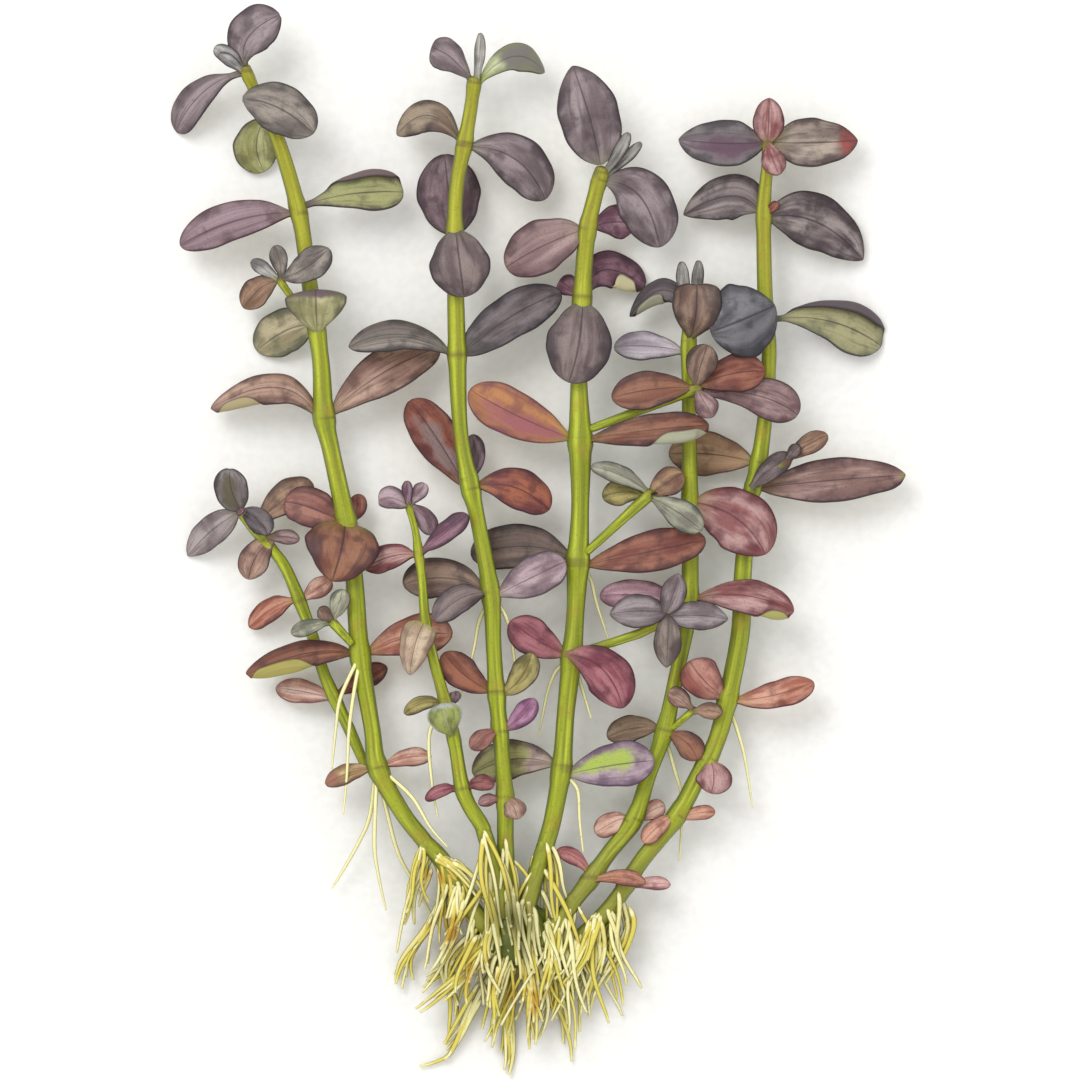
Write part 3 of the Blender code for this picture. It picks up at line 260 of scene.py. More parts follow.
def stalk(bm, route, joints, crown=TIP_REACH):
    """A stem that swells at its joints. Its joint attribute is 1 at the tip, less at a joint, 0 off them."""
    heights = [point[1] for point in route]
    rings = max(4, int(abs(heights[-1] - heights[0]) * RINGS_PER_MM) + 3)

    def radius_at(share):
        x, y, z, radius = along(route, share)
        swell = sum(exp(-(((y - joint) / JOINT_REACH) ** 2)) for joint in joints)
        tip = min(1.0, (1 - share) * rings / 2 + BLUNT_TIP)
        return radius * (1 + JOINT_SWELL * min(swell, 1)) * tip

    tube(bm, route, STEM_SIDES, rings, radius_at)
    ring = bm.verts.layers.float.get("joint") or bm.verts.layers.float.new("joint")
    tip = Vector(route[-1][:3])
    for vert in bm.verts:
        tones = [RING_TONE * exp(-(((vert.co.y - joint) / RING_REACH) ** 2)) for joint in joints]
        tones.append(exp(-(((vert.co - tip).length / crown) ** 2)))
        vert[ring] = max(tones)


def stem(name, route, leaves, crown):
    """A stem, which runs on below its first point into what it grows from."""
    first, second = Vector(route[0][:3]), Vector(route[1][:3])
    inner = first - (second - first).normalized() * RUN_IN
    bm = bmesh.new()
    stalk(bm, ((*inner, route[0][3] * 0.9), *route), sorted({leaf.height for leaf in leaves}), crown)
    close_ends(bm)
    piece(name, bm, [STEM_SKIN], "stem_tissue", name)


STEM_SKIN = stem_skin()

# The roots. White and straw-coloured threads, each about a millimetre thick, grow down in bundles from the
# rootstock and its feet. They are soft, slightly waxy and half clear, and turn yellow and ochre with age.
# Each thread follows a route, in millimetres in the plant's frame, with its own offset and its own waves.
BUNDLES = (
    ((-18.4, -51.6, 6), (-20.2, -57.2, 4.8), (-21.2, -63.6, 3.2)),
    ((-14.6, -56, 5.4), (-18.6, -63.6, 3.8), (-22, -69.4, 2.2), (-22.7, -74.4, 1)),
    ((-12.6, -58.6, 6.2), (-14.6, -65, 6.8), (-18.4, -71.2, 6.2)),
    ((-13.6, -56.4, 7.2), (-14.2, -62, 8), (-16.6, -67.6, 8.2)),
    ((-8.6, -65, 3.6), (-12.4, -68.4, 2.6), (-19.4, -74.2, 1.2)),
    ((-7.4, -66, 6.4), (-13.4, -72.6, 5.8), (-20.2, -78.2, 4.6)),
    ((-9.4, -64, 5), (-15.2, -70, 4), (-14.6, -77.2, 2.8), (-15.4, -82.6, 1.6)),
    ((-6.4, -68, 4), (-10.4, -76.2, 2.6), (-13.8, -82.8, 1.4), (-16.2, -86, 0.7), (-20.2, -87.4, 0.5)),
    ((-9.6, -64.8, 6.6), (-11.6, -71.4, 6.8), (-12.1, -76.8, 6.2)),
    ((-5.6, -67.6, 6.6), (-7.4, -74.4, 6.8), (-8.1, -80, 6.2)),
    ((-4.6, -68.8, 4.2), (-6.8, -77.2, 3.2), (-8.4, -84.2, 2)),
    ((-3.4, -68.8, 3.6), (-4.6, -79, 2), (-4.8, -85.4, 0.8), (-4.9, -89.4, 0.5)),
    ((-1.8, -67.6, 5.6), (-1.6, -76.4, 5.6), (-2.2, -84.4, 4.4)),
    ((0.2, -66.2, 5.2), (1.6, -75.6, 4.2), (-0.6, -82.8, 3)),
    ((-0.4, -66, 4), (2.4, -74.4, 2.6), (4.2, -81, 1.4), (5.2, -86.6, 0.6)),
    ((5.6, -64.4, 5.2), (8.2, -71, 4.2), (7.2, -76.2, 3), (6.5, -81.6, 2)),
    ((13.2, -58.8, 5.6), (14.6, -63.6, 5.2), (12.6, -68.8, 4.4), (9.8, -73.4, 3.4), (8.9, -77.4, 2.6)),
    ((9.6, -61.6, 6.2), (7.4, -68.4, 6.6), (3.6, -73.8, 6.2)),
    ((11.4, -59.8, 5), (10.2, -66.2, 3.8), (6.4, -73, 2.6), (3.4, -77.4, 1.8)),
    ((1.6, -62.6, 6), (1.4, -69.6, 7.2), (0.2, -76, 7.4)),
    ((-6.9, -59.5, 6.6), (-9, -68, 8.2), (-7, -74.8, 8.2)),
    ((-17.4, -52, 7), (-13.6, -54.4, 7.6), (-9.2, -60, 6.6)),
)
# Shorter bundles that cover the lump that the feet meet in.
MIDDLE_BUNDLES = (
    ((-8.2, -56.6, 7.0), (-7.4, -63.6, 8.2), (-6.8, -71.5, 7.4)),
    ((-5.0, -57.0, 7.0), (-4.2, -64.0, 8.4), (-3.4, -72.5, 7.4)),
    ((-2.4, -59.2, 6.6), (-1.4, -65.8, 8.0), (-0.6, -73.5, 6.8)),
    ((1.8, -63.0, 6.2), (2.6, -68.0, 7.4), (3.8, -75.0, 5.8)),
    ((6.8, -64.6, 5.4), (5.4, -69.4, 6.6), (5.2, -76.6, 4.6)),
    ((9.4, -62.4, 5.6), (9.8, -67.4, 5.6), (8.6, -73.6, 4.2)),
)
# The feet of the six stems, where they run together in the rootstock: across, up, height, radius.
FEET = (
    ((-19.4, -49.6, 6.5, 1.4), (-16.2, -53, 6.2, 1.5), (-12.4, -59.5, 5.8, 1.6), (-8.6, -64.6, 5.4, 1.8)),
    ((-9.65, -47.15, 9.1, 1.25), (-8.4, -51.2, 8.2, 1.4), (-7.2, -57, 7, 1.5), (-6.4, -63, 6, 1.7)),
    ((-5.8, -48.6, 7.3, 1.4), (-5.6, -54.5, 6.2, 1.5), (-5.2, -60, 5.4, 1.7), (-4.8, -65, 5.2, 1.8)),
    ((1.1, -49.8, 6.95, 1.5), (-0.6, -55, 6.4, 1.5), (-2.2, -60.5, 5.8, 1.6), (-3.8, -65.4, 5.4, 1.8)),
    ((6, -59, 6, 1.4), (3.6, -62.6, 5.6, 1.5), (0.4, -66.2, 5.2, 1.6), (-3, -68, 5, 1.6)),
    ((13.9, -57.75, 6, 1.4), (11.2, -61.4, 5.2, 1.5), (6.4, -66, 4.6, 1.5), (-1, -69.4, 4.6, 1.6)),
)
# The lump has soft knobs: how high they stand, and how many of them there are along each way.
LUMP_CENTRE = (-4.6, -65.0, 4.6)
LUMP_RADII = (6.6, 5.6, 3.2)
KNOB_HEIGHTS = (0.08, 0.05)
KNOBS = (9, 11, 13)
STRAND_SIDES = 6
STRAND_RINGS = 13
STRAND_POINTS = 8
STRAND_RADIUS = 0.52
STRAND_TIP_RADIUS = 0.22
STRANDS_IN_BUNDLE = 9
STRANDS_ON_FOOT = 15
BUNDLE_SPREAD = 1.8
# A thread waves this often, this far to the side and this far up, and grows on this far past its route.
STRAND_WAVES = 7
SIDE_WAVE = 0.35
UP_WAVE = 0.3
GROW_ON = 8
# A thread leaves a foot this far from its axis, and bends to the side that it leaves on.
OFF_FOOT = 1.2
FOOT_LEAN = 0.25
LOWEST = 0.05
LOWEST_STRAND = CAD_BOX[0].y / MM
CREAM_ROOT = "F6F0B4"
STRAW_ROOT = "E0D160"
OCHRE_ROOT = "C08C24"
OLIVE_ROOT = "6E6C3A"
# The dark olive of the painted shade at a thread's sides, also laid as a fine grain.
ROOT_FLANK_SHADE_AND_GRAIN = "8A8228"
ROOT_ROUGHNESS = 0.45
ROOT_IOR = 1.4
ROOT_BLOTCH_MM = 2.6
ROOT_GRAIN_MM = 0.35
ROOT_GRAIN_DEPTH_MM = 0.06
# Where the old roots have turned ochre, and where they are olive: across, up, and how far it reaches.
OCHRE_PATCHES = ((-14.6, -64.5, 5.6), (-2.0, -76.0, 6.4), (-10.0, -72.0, 5.0), (-17.0, -56.0, 4.0))
OLIVE_PATCH = (-4.2, -62.5, 8.6)


def from_spot(tree, x, y):
    """How far a place is from a spot on the plant, as it is seen from above."""
    flat = {0: add(tree, "TexCoord").outputs["Object"], 1: (1, 1, 0), 2: (-x * MM, -y * MM, 0)}
    offset = add(tree, "VectorMath", flat, operation="MULTIPLY_ADD").outputs[0]
    return add(tree, "VectorMath", {0: offset}, operation="LENGTH").outputs["Value"]


def root_skin():
    """Root epidermis: soft and damp, so its gloss is dull. Yellower with age, with painted shade that
    darkens its sides.
    """
    material, tree, shader = skin("root_epidermis", ROOT_ROUGHNESS, ROOT_IOR)
    around, lengthwise = add(tree, "SeparateXYZ", {0: add(tree, "UVMap").outputs[0]}).outputs[:2]
    tone = add(tree, "Attribute", attribute_name="tone").outputs["Fac"]
    age = blotches(tree, ROOT_BLOTCH_MM)
    grain = blotches(tree, ROOT_GRAIN_MM)
    layers = [(STRAW_ROOT, (tone, 0.25, 0.75, 0.0, 1.0))]
    for x, y, reach in OCHRE_PATCHES:
        within = (from_spot(tree, x, y), 0.0, reach * MM, 1.0, 0.0)
        layers.append((OCHRE_ROOT, within, (age, 0.35, 0.6, 0.0, 1.0), (tone, 0.1, 0.6, 0.3, 1.0)))
    x, y, reach = OLIVE_PATCH
    layers += [
        (OLIVE_ROOT, (from_spot(tree, x, y), 0.0, reach * MM, 1.0, 0.0), (tone, 0.0, 0.4, 0.35, 1.0)),
        # Painted shade: a thread darkens towards its sides, away from the top of the tube.
        (ROOT_FLANK_SHADE_AND_GRAIN, (off_line(tree, around, TOP), 0.095, 0.2125, 0.0, 0.9)),
        (CREAM_ROOT, (lengthwise, 0.86, 1.0, 0.0, 0.7)),
        (ROOT_FLANK_SHADE_AND_GRAIN, (grain, 0.55, 0.8, 0.0, 0.35)),
    ]
    paint(tree, shader, CREAM_ROOT, layers, grain, ROOT_GRAIN_DEPTH_MM)
    return material


def toned(bm, first, tone):
    """Gives the vertices from the first one on a tone from 0, pale, to 1, yellow."""
    layer = bm.verts.layers.float.get("tone") or bm.verts.layers.float.new("tone")
    bm.verts.ensure_lookup_table()
    for vert in bm.verts[first:]:
        vert[layer] = tone


def strand(bm, route, chance, spread, start, reach, radius):
    """One root thread beside a route from a start share to a reach, that wanders off it towards its tip."""
    # A bundle is flatter than it is wide, and its threads drift apart more across it than in height.
    turn = chance.uniform(0, 2 * pi)
    aside = Vector((cos(turn), sin(turn) * 0.4, chance.uniform(-0.4, 0.8)))
    aside *= spread * chance.uniform(0.1, 1.0)
    drift = Vector((chance.uniform(-1.3, 1.3), chance.uniform(-0.5, 0.5), chance.uniform(-0.6, 0.4)))
    drift *= spread
    side_phase = chance.uniform(0, 2 * pi)
    up_phase = chance.uniform(0, 2 * pi)
    points = []
    for step in range(STRAND_POINTS):
        share = start + step / (STRAND_POINTS - 1) * (reach - start)
        off_route = min(1.0, 0.4 + share * 3) * (1 - share * 0.5)
        place = Vector(along(route, min(share, 1.0))[:3]) + aside * off_route + drift * share**2
        place.y -= max(share - 1.0, 0.0) * GROW_ON
        place.x += SIDE_WAVE * sin(share * STRAND_WAVES + side_phase)
        place.z += UP_WAVE * sin(share * STRAND_WAVES + up_phase)
        place.z = max(place.z, radius + LOWEST)
        place.y = max(place.y, LOWEST_STRAND + radius)
        points.append(tuple(place))
    first = len(bm.verts)

    # A thread is thin where it leaves the bundle, thickest soon after, and thins to its tip.
    def radius_at(share):
        return (radius + (STRAND_TIP_RADIUS - radius) * share**1.5) * min(1.0, 0.3 + share * 8)

    tube(bm, points, STRAND_SIDES, STRAND_RINGS, radius_at)
    toned(bm, first, chance.random())


def foot_strand(bm, foot, chance):
    """A root thread that springs from a foot of the rootstock and grows down beside it and past it."""
    start = Vector(along(foot, chance.uniform(0.0, 0.9))[:3])
    turn = chance.uniform(-0.2, 1.2) * pi
    start += Vector((cos(turn), 0, max(sin(turn), -0.2))) * OFF_FOOT
    length = chance.uniform(9, 19)
    lean = chance.uniform(-0.35, 0.35) + FOOT_LEAN * cos(turn)
    end = start + Vector((lean * length, -length, -chance.uniform(0.5, 4.0)))
    middle = (start + end) / 2 + Vector((chance.uniform(-1.2, 1.2), 0, chance.uniform(0.2, 1.2)))
    route = (tuple(start), tuple(middle), tuple(end))
    strand(bm, route, chance, 0.4, 0.0, 1.0, STRAND_RADIUS * chance.uniform(0.6, 1.0))


def roots():
    """A thread down the middle of each bundle, the others around it, and those on the feet."""
    chance = Random(7)
    bm = bmesh.new()
    for route in (*BUNDLES, *MIDDLE_BUNDLES):
        strand(bm, route, chance, 0.1, 0.0, 1.0, STRAND_RADIUS * 1.1)
        for _ in range(STRANDS_IN_BUNDLE):
            reach = chance.uniform(0.4, 0.9)
            start = chance.uniform(0, 0.3)
            radius = STRAND_RADIUS * chance.uniform(0.7, 1.1)
            strand(bm, route, chance, BUNDLE_SPREAD, start, reach, radius)
    for foot in FEET:
        for _ in range(STRANDS_ON_FOOT):
            foot_strand(bm, foot, chance)
    close_ends(bm)
    return bm


def rootstock():
    """The feet of the stems, and the lump that they meet in."""
    bm = bmesh.new()
    for foot in FEET:
        stalk(bm, foot, ())
    close_ends(bm)
    lump = bmesh.ops.create_icosphere(bm, subdivisions=4, radius=1)["verts"]
    for vert in lump:
        across, up, high = (along_way * knobs for along_way, knobs in zip(vert.co, KNOBS))
        knob = 1 + KNOB_HEIGHTS[0] * sin(across) * sin(up + 1) + KNOB_HEIGHTS[1] * sin(high)
        vert.co = Vector(LUMP_CENTRE) + Vector(a * b * knob for a, b in zip(vert.co, LUMP_RADII))
    piece("rootstock", bm, [STEM_SKIN], "crown_tissue")


ROOT_SKIN = root_skin()
rootstock()
piece("roots", roots(), [ROOT_SKIN], "crown_tissue", "root_crown")

# The aerial roots. Single pale threads that hang from the joints on the lower half of a stem and thin to a
# soft point. They are the same tissue as the roots below.
AERIAL_RADIUS = 0.36
AERIAL_TIP_RADIUS = 0.14
AERIAL_SIDES = 8
AERIAL_RINGS = 26
AERIAL_TONE = 0.2
# The routes of each stem's aerial roots, from stem 1 to stem 6.
AERIAL_ROOTS = (
    (
        ((-30, -19.4, 7.6), (-31, -24.9, 9), (-31.8, -31.1, 8.6), (-32.2, -38.9, 7.6), (-32.8, -45.2, 6.6)),
        ((-30.2, -19, 8), (-33.2, -25.6, 8.8), (-34, -30.8, 7.8), (-34.7, -37.6, 6.6)),
        ((-27.4, -37.9, 6.4), (-28.4, -45.4, 5), (-30.2, -49.8, 4), (-33.2, -55.1, 2.8),
         (-34.8, -57.6, 2.2)),
        ((-27.2, -38.8, 7.2), (-27.6, -49.8, 6.6), (-27, -55.1, 5.2), (-25.7, -61.2, 3.6)),
        ((-26.4, -40.9, 6.2), (-24, -50.8, 3.8), (-21.4, -56.1, 2.2), (-16.8, -64.4, 0.8)),
        ((-25, -38.8, 7.6), (-21.2, -42.4, 8.4), (-18.3, -47.2, 8.2), (-15.4, -50.6, 7.8)),
    ),
    (
        ((-15.8, -27.2, 10), (-18.4, -31.6, 9.2), (-18, -39.9, 8.4), (-17, -45.6, 7.8)),
    ),
    (
        ((-8.6, -9.6, 8.4), (-10.2, -13.2, 7.4), (-11.2, -18.4, 6.8), (-13.4, -25.9, 6)),
        ((-7.2, -9.6, 8.4), (-5, -14.2, 7.8), (-3.7, -25.1, 6.8)),
    ),
    (
        ((7, -3.6, 7), (8.5, -6.2, 6), (9.5, -10.2, 5.6), (11.5, -16.1, 5)),
        ((4.8, -19.4, 7), (2.6, -21.4, 6.2), (1.2, -25.1, 6), (-0.2, -32.1, 5.6)),
        ((5.6, -20, 7.4), (7, -24.1, 6.8), (8.5, -29.1, 6.2)),
        ((3.8, -38.4, 8), (6.2, -40.9, 8.2), (6.6, -46.2, 7.6), (7.2, -51.4, 7)),
    ),
    (
        ((20.6, -31.4, 5), (22.5, -37.8, 4), (23.7, -43.1, 3.2), (23.3, -53.1, 2.2)),
    ),
    (
        ((31.4, -26.8, 5.6), (33, -31.4, 4.8), (34.2, -35.9, 4.2), (35.5, -44.1, 3.2)),
    ),
)


def aerial_radius(share):
    """A thread's radius at a share of its length: it stays full for long, and thins at its tip."""
    return AERIAL_RADIUS + (AERIAL_TIP_RADIUS - AERIAL_RADIUS) * share**2


for stem_number, routes in enumerate(AERIAL_ROOTS, 1):
    threads = bmesh.new()
    for route in routes:
        first = len(threads.verts)
        tube(threads, route, AERIAL_SIDES, AERIAL_RINGS, aerial_radius)
        toned(threads, first, AERIAL_TONE)
    close_ends(threads)
    piece(f"aerial_roots_{stem_number}", threads, [ROOT_SKIN], "stem_tissue")

# The leaves. Fleshy, stalkless blades about half a millimetre thick, in pairs, smooth and faintly waxy.
# The upper face is dusky purple to brick red with veins that run from base to tip; the underside is paler.
# A look gives the colours of its face, wash, veins (the same colour paints shade towards the edges of the
# face), midrib and margin, base, and underside.
LOOKS = {
    "smoke": "6A5B5E 998A8C 44363C 34282E 7F7C62 A6A284",
    "ash": "5F4F50 867673 3A2D31 2F2429 6A6551 9A947A",
    "green lined ash": "6B5A59 8C7A76 54503E 33272D 4F4440 6A5858",
    "slate": "6B615D 9A9086 38312F 2C272A 6E6A5C 9C9C84",
    "charcoal": "4C4145 766B6D 2C2429 241E23 5A5348 8E8C76",
    "green lined charcoal": "5A4E51 7D7274 5C6046 2A2228 554A48 594D52",
    "midnight": "535055 838186 2A292E 222127 4C4B48 8A8C7E",
    "dusk": "5C464E 8B747A 38252D 2D1D25 6A5D52 A0977E",
    "striped dusk": "54454A 978B88 2E2126 261A20 6A5F52 A0977E",
    "purple heart": "60565A 877D80 383036 2C2329 665B50 A0977E",
    "plum": "63394C 906A77 381D2E 2C1622 6A5548 C4BB94",
    "rosy mauve": "6E535B 9B848B 4C323A 3E282E 857661 B1A584",
    "dusky rose": "7B5E5F A98F8B 4C2F37 3F262C 8A7A64 AE9E80",
    "brown rose": "876458 B69684 4E332E 3F2428 8A7C54 A39670",
    "mauve brown": "80615A AA8C84 4A3233 3A2529 86704E A9A26C",
    "tan brown": "785843 AA8870 48342A 38252A 86804E A9A26C",
    "umber": "664E45 967C6B 3A2B27 2E1F20 6C6240 979068",
    "dark umber": "51403B 7E6A5F 2E2220 261A1B 5C5438 878058",
    "striped umber": "5E4942 89755F 362827 2B1E22 6A6040 979068",
    "rust": "704030 976850 44282A 381C1E 7C6C38 8E8648",
    "brick": "733B31 9E6751 4A1F20 3C181B 8C6C3E AC8866",
    "garnet": "75423E A07062 4A2327 3C1A1F 8A703F AC8C6C",
    "two tone red": "854633 A26C58 4E2124 3E1A20 98803E AC8C66",
    "sunset": "6C3638 A26046 461D26 38161E 98803E AC8C66",
    "orange": "98663E BC8250 76424A 5E3038 A09E3C BFA56E",
    "wine": "763442 AC6E74 4C1828 3C1222 957848 B19482",
    "magenta": "7F4868 B0839E 58274A 4A1D3E 8E8052 B6A28E",
    "coral": "A56350 D3A089 703E36 5C2826 A48F46 C0A27C",
    "pale coral": "B88270 E0BAA8 7E4C44 643430 AA9A56 C4AE8A",
    "rose": "874F4E BC9692 5A252D 471A23 977F4E A5A05E",
    "lilac": "846C71 B59FA4 594650 48343D 9A9472 B8B090",
    "lavender": "998D95 C9BFC6 675B66 4E4250 A09C84 BAB49E",
    "tan": "A28256 CFB889 6A4E38 54362E A29C50 C4B486",
    "olive": "7C7035 AEA163 4C4424 3C3024 90923A B1AA76",
    "sage": "928765 C0B391 5A5A44 42413A 98A04E B7B692",
    "grey green": "87826F B9B99D 50544A 3A3B3C 8E9658 B0B294",
    "bud": "878380 BBB8B3 504B4C 353034 98A058 B4B298",
    "pale bud": "938F88 C3C1B8 5E5C56 3E3A3F A4AC5C BABCA0",
    "cream": "A98F78 CCB69C 6E5848 584038 A6A254 C8B88C",
    "turned sage": "96955C C3C38D 686440 443A36 9EA650 80736F",
    "turned olive": "8F8A5E B8B386 5A583A 483640 98A048 6E5658",
    "rimmed green": "7E8640 A0A85E 5A6034 A5AAA2 949E42 A4A898",
    "half green": "927A76 B8A29A 4E3C3A 3C2B2E 86805A B0A97A",
    "lime heart": "86707C B29CA6 5C4458 4C344A 9AA060 B4B286",
    "folding green": "AAB084 CACEA6 747858 3A3236 A8BC48 6E6562",
    "ruddy tip": "7D6C64 AE9F92 473735 352629 8E8C4E A5A07C",
    "lime foot": "7B5640 AC8C68 4E2F2A 3D2222 A0AA38 B3A278",
    "cup": "6F6462 989090 443A3C 33292E 5E5A40 8C8480",
    "purple foot": "706365 9B8F91 433639 32272D 4C2E3E A6A284",
    "pink mauve": "A07884 D0ACB4 623A4A 502E3A 8A7A64 B1A584",
    "sage lined rust": "704030 976850 44282A 381C1E 7C6C38 A0A087",
    "burnt coral": "985440 C08A72 5E2C28 4C2020 A48F46 C0A27C",
    "light plum": "82566A AC8898 4C2A38 3A202C 6A5A4C BDB592",
    "brown olive": "AC8868 D2B294 6A4C3A 4A3230 98905A A39670",
    "dark purple foot": "62544F 8C7E74 3F3230 302526 48303A A09A80",
    "pale rose": "C89C8E EED2C6 8A5A52 6C3E3C AA9A66 C8B498",
    "pale smoke": "857876 AEA2A0 5A4C50 453A40 8A8570 B0AA92",
    "rose brick": "96584C BE8A7C 602C2C 4A2022 98804A B89A7C",
    "dark bud": "736F6B A4A19C 46413F 2F2A2E 8A9050 A4A28C",
    "blue green": "7A7669 AAAA94 474B42 353637 828A50 A2A488",
    "warm wine": "6C3236 9A625C 461826 3A1220 957848 B19482",
    "dusky magenta": "6C4A58 9A8086 4A2A42 40203A 7C7050 B6A28E",
    "red brick": "733A2C 9C6248 4A1E1C 3C1818 8C6C3E AC8866",
    "brown umber": "6A5240 947C62 40301F 30221C 6C6240 979068",
    "olive lined rust": "784634 A06E54 48282A 3A1C1E 7C6C38 A0964E",
    "crimson": "98494A BA7E7A 622430 4A1A24 A48F46 C0A27C",
    "pink rose": "AC706C DEB2AC 703A42 5A2830 A48F46 C0A27C",
}
# Leaves that turn another colour towards the tip, and from what share of their length.
TIPS = {
    "green lined ash": ("A0A06C", 0.3),
    "green lined charcoal": ("A5A078", 0.08),
    "mauve brown": ("A0985E", 0.9),
    "striped umber": ("998873", 0.5),
    "tan": ("9C6A56", 0.66),
    "turned olive": ("67535A", 0.72),
    "rimmed green": ("A9AEA6", 0.8),
    "half green": ("ACA86E", 0.42),
    "folding green": ("736D69", 0.4),
    "ruddy tip": ("9A4B46", 0.72),
}
# Leaves with a patch of another colour in the middle.
HEARTS = {
    "purple heart": "5C3E50",
    "two tone red": "867270",
    "orange": "9A5A60",
    "lime heart": "A6BC42",
    "cup": "5C553E",
}
# A leaf leaves its stem at a height. Its tip and the bow of its midrib are measured from there. It tilts to
# a side and its halves curl up, in degrees. A start says where a blade begins that isn't at its stem's side,
# and a roll which margin rolls over the face, from what share of the length, and how much of it.
Leaf = namedtuple(
    "Leaf", "name height reach width bow tilt curl look outline start roll", defaults=("oval", (), ())
)
# How fast a blade of each outline widens from its base, and narrows to its tip.
OUTLINES = {
    "oval": (0.9, 0.55),
    "round": (0.6, 0.5),
    "lance": (0.8, 0.7),
    "spoon": (1.4, 0.5),
    "wedge": (0.9, 0.32),
    "heart": (0.28, 0.58),
    "pointed": (0.65, 0.7),
}
BLADE_THICKNESS = 0.42
PETIOLE_HALF_WIDTH = 0.55
PETIOLE_SHARE = 0.3
LEAST_HALF_WIDTH = 1e-3
# How a grown margin wavers: how far, how often, and how it differs with the leaf's height.
EDGE_WAVERS = ((0.03, 11, 1), (0.015, 23, 2))
LENGTHWISE = 28
ACROSS = 14
SMALL_LEAF = 9.0
WELD_BLADE = 2e-3
MIDRIB_GROOVE = 0.16
MIDRIB_WIDTH = 0.12
MARGIN_RIPPLE = 0.14
RIPPLES = 17
ROLL_RADIUS = 0.42
# A roll grows over the first of these shares of the blade, and ends at the tip over the second.
ROLL_GROWS = 0.22
ROLL_ENDS = 0.1
TIP_OF_ROLL = 0.99
LEAST_ROLL = 0.02
BLADE_ROUGHNESS = 0.5
UNDERSIDE_ROUGHNESS = 0.55
WASH_MM = 3.0
WASH_DETAIL = 4.0
GRAIN_MM = 0.3
BROAD_STREAKS = (2.2, 3.6)
VEIN_STREAKS = (2.6, 13.0)
LEAF_SHIFT = 60.0
MIDRIB = 0.5
VEIN_DEPTH_MM = 0.2
UNDERSIDE_DEPTH_MM = 0.1
# How ragged the border of a coloured tip and of a heart is, and where a heart lies on the blade.
RAGGED_TIP = 0.2
RAGGED_HEART = 0.6
HEART_MIDDLE = (0.42, 0.6, 0.0)
HEART_STRETCH = (0.75, 1.1, 0.0)


def blade_skin(name, face, wash, veins_and_shade, margin, base):
    """Leaf cuticle: clear wax over pigmented flesh, satin, with a blotchy wash, veins, painted shade towards
    the edges and a dark margin.
    """
    material, tree, shader = skin(name.replace(" ", "_") + "_cuticle", BLADE_ROUGHNESS, WAX_IOR)
    blade_map = add(tree, "UVMap").outputs[0]
    lengthwise, crosswise = add(tree, "SeparateXYZ", {0: blade_map}).outputs[:2]
    off_midrib = off_line(tree, crosswise, MIDRIB)
    broad = streaked(tree, BROAD_STREAKS, LEAF_SHIFT)
    fine = streaked(tree, VEIN_STREAKS, LEAF_SHIFT)
    blotch = blotches(tree, WASH_MM, WASH_DETAIL)
    grain = blotches(tree, GRAIN_MM)
    layers = [(wash, (broad, 0.36, 0.64, 0.0, 1.0))]
    if name in TIPS:
        tip, tip_from = TIPS[name]
        ragged = {0: broad, 1: RAGGED_TIP, 2: lengthwise}
        border = add(tree, "Math", ragged, operation="MULTIPLY_ADD").outputs[0]
        layers.append((tip, (border, tip_from + 0.04, tip_from + 0.13, 0.0, 1.0)))
    layers += [
        # Painted shade: the blade darkens towards its edges, unevenly in blotches.
        (veins_and_shade, (off_midrib, 0.2, 0.47, 0.0, 1.0), (blotch, 0.36, 0.6, 0.3, 0.9)),
        (veins_and_shade, (lengthwise, 0.8, 0.97, 0.0, 1.0), (broad, 0.4, 0.6, 0.1, 0.55)),
        (veins_and_shade, (blotch, 0.5, 0.7, 0.0, 0.65)),
        (veins_and_shade, (fine, 0.52, 0.72, 0.0, 0.5)),
        (base, (lengthwise, 0.05, 0.34, 0.8, 0.0), (broad, 0.3, 0.6, 0.55, 1.0)),
    ]
    if name in HEARTS:
        offset = add(tree, "VectorMath", {0: blade_map, 1: HEART_MIDDLE}, operation="SUBTRACT").outputs[0]
        offset = add(tree, "VectorMath", {0: offset, 1: HEART_STRETCH}, operation="MULTIPLY").outputs[0]
        far = add(tree, "VectorMath", {0: offset}, operation="LENGTH").outputs["Value"]
        border = add(tree, "Math", {0: blotch, 1: RAGGED_HEART, 2: far}, operation="MULTIPLY_ADD").outputs[0]
        layers.append((HEARTS[name], (border, 0.41, 0.65, 0.92, 0.0)))
    layers += [
        (margin, (off_midrib, 0.006, 0.026, 0.7, 0.0)),
        (margin, (off_midrib, 0.435, 0.485, 0.0, 0.95)),
        (margin, (lengthwise, 0.93, 0.98, 0.0, 0.9)),
        (veins_and_shade, (grain, 0.5, 0.8, 0.0, 0.4)),
    ]
    pits = add(tree, "Math", {0: grain, 1: 0.3}, operation="MULTIPLY").outputs[0]
    uneven = add(tree, "Math", {0: fine, 1: 0.7, 2: pits}, operation="MULTIPLY_ADD").outputs[0]
    paint(tree, shader, face, layers, uneven, VEIN_DEPTH_MM)
    return material


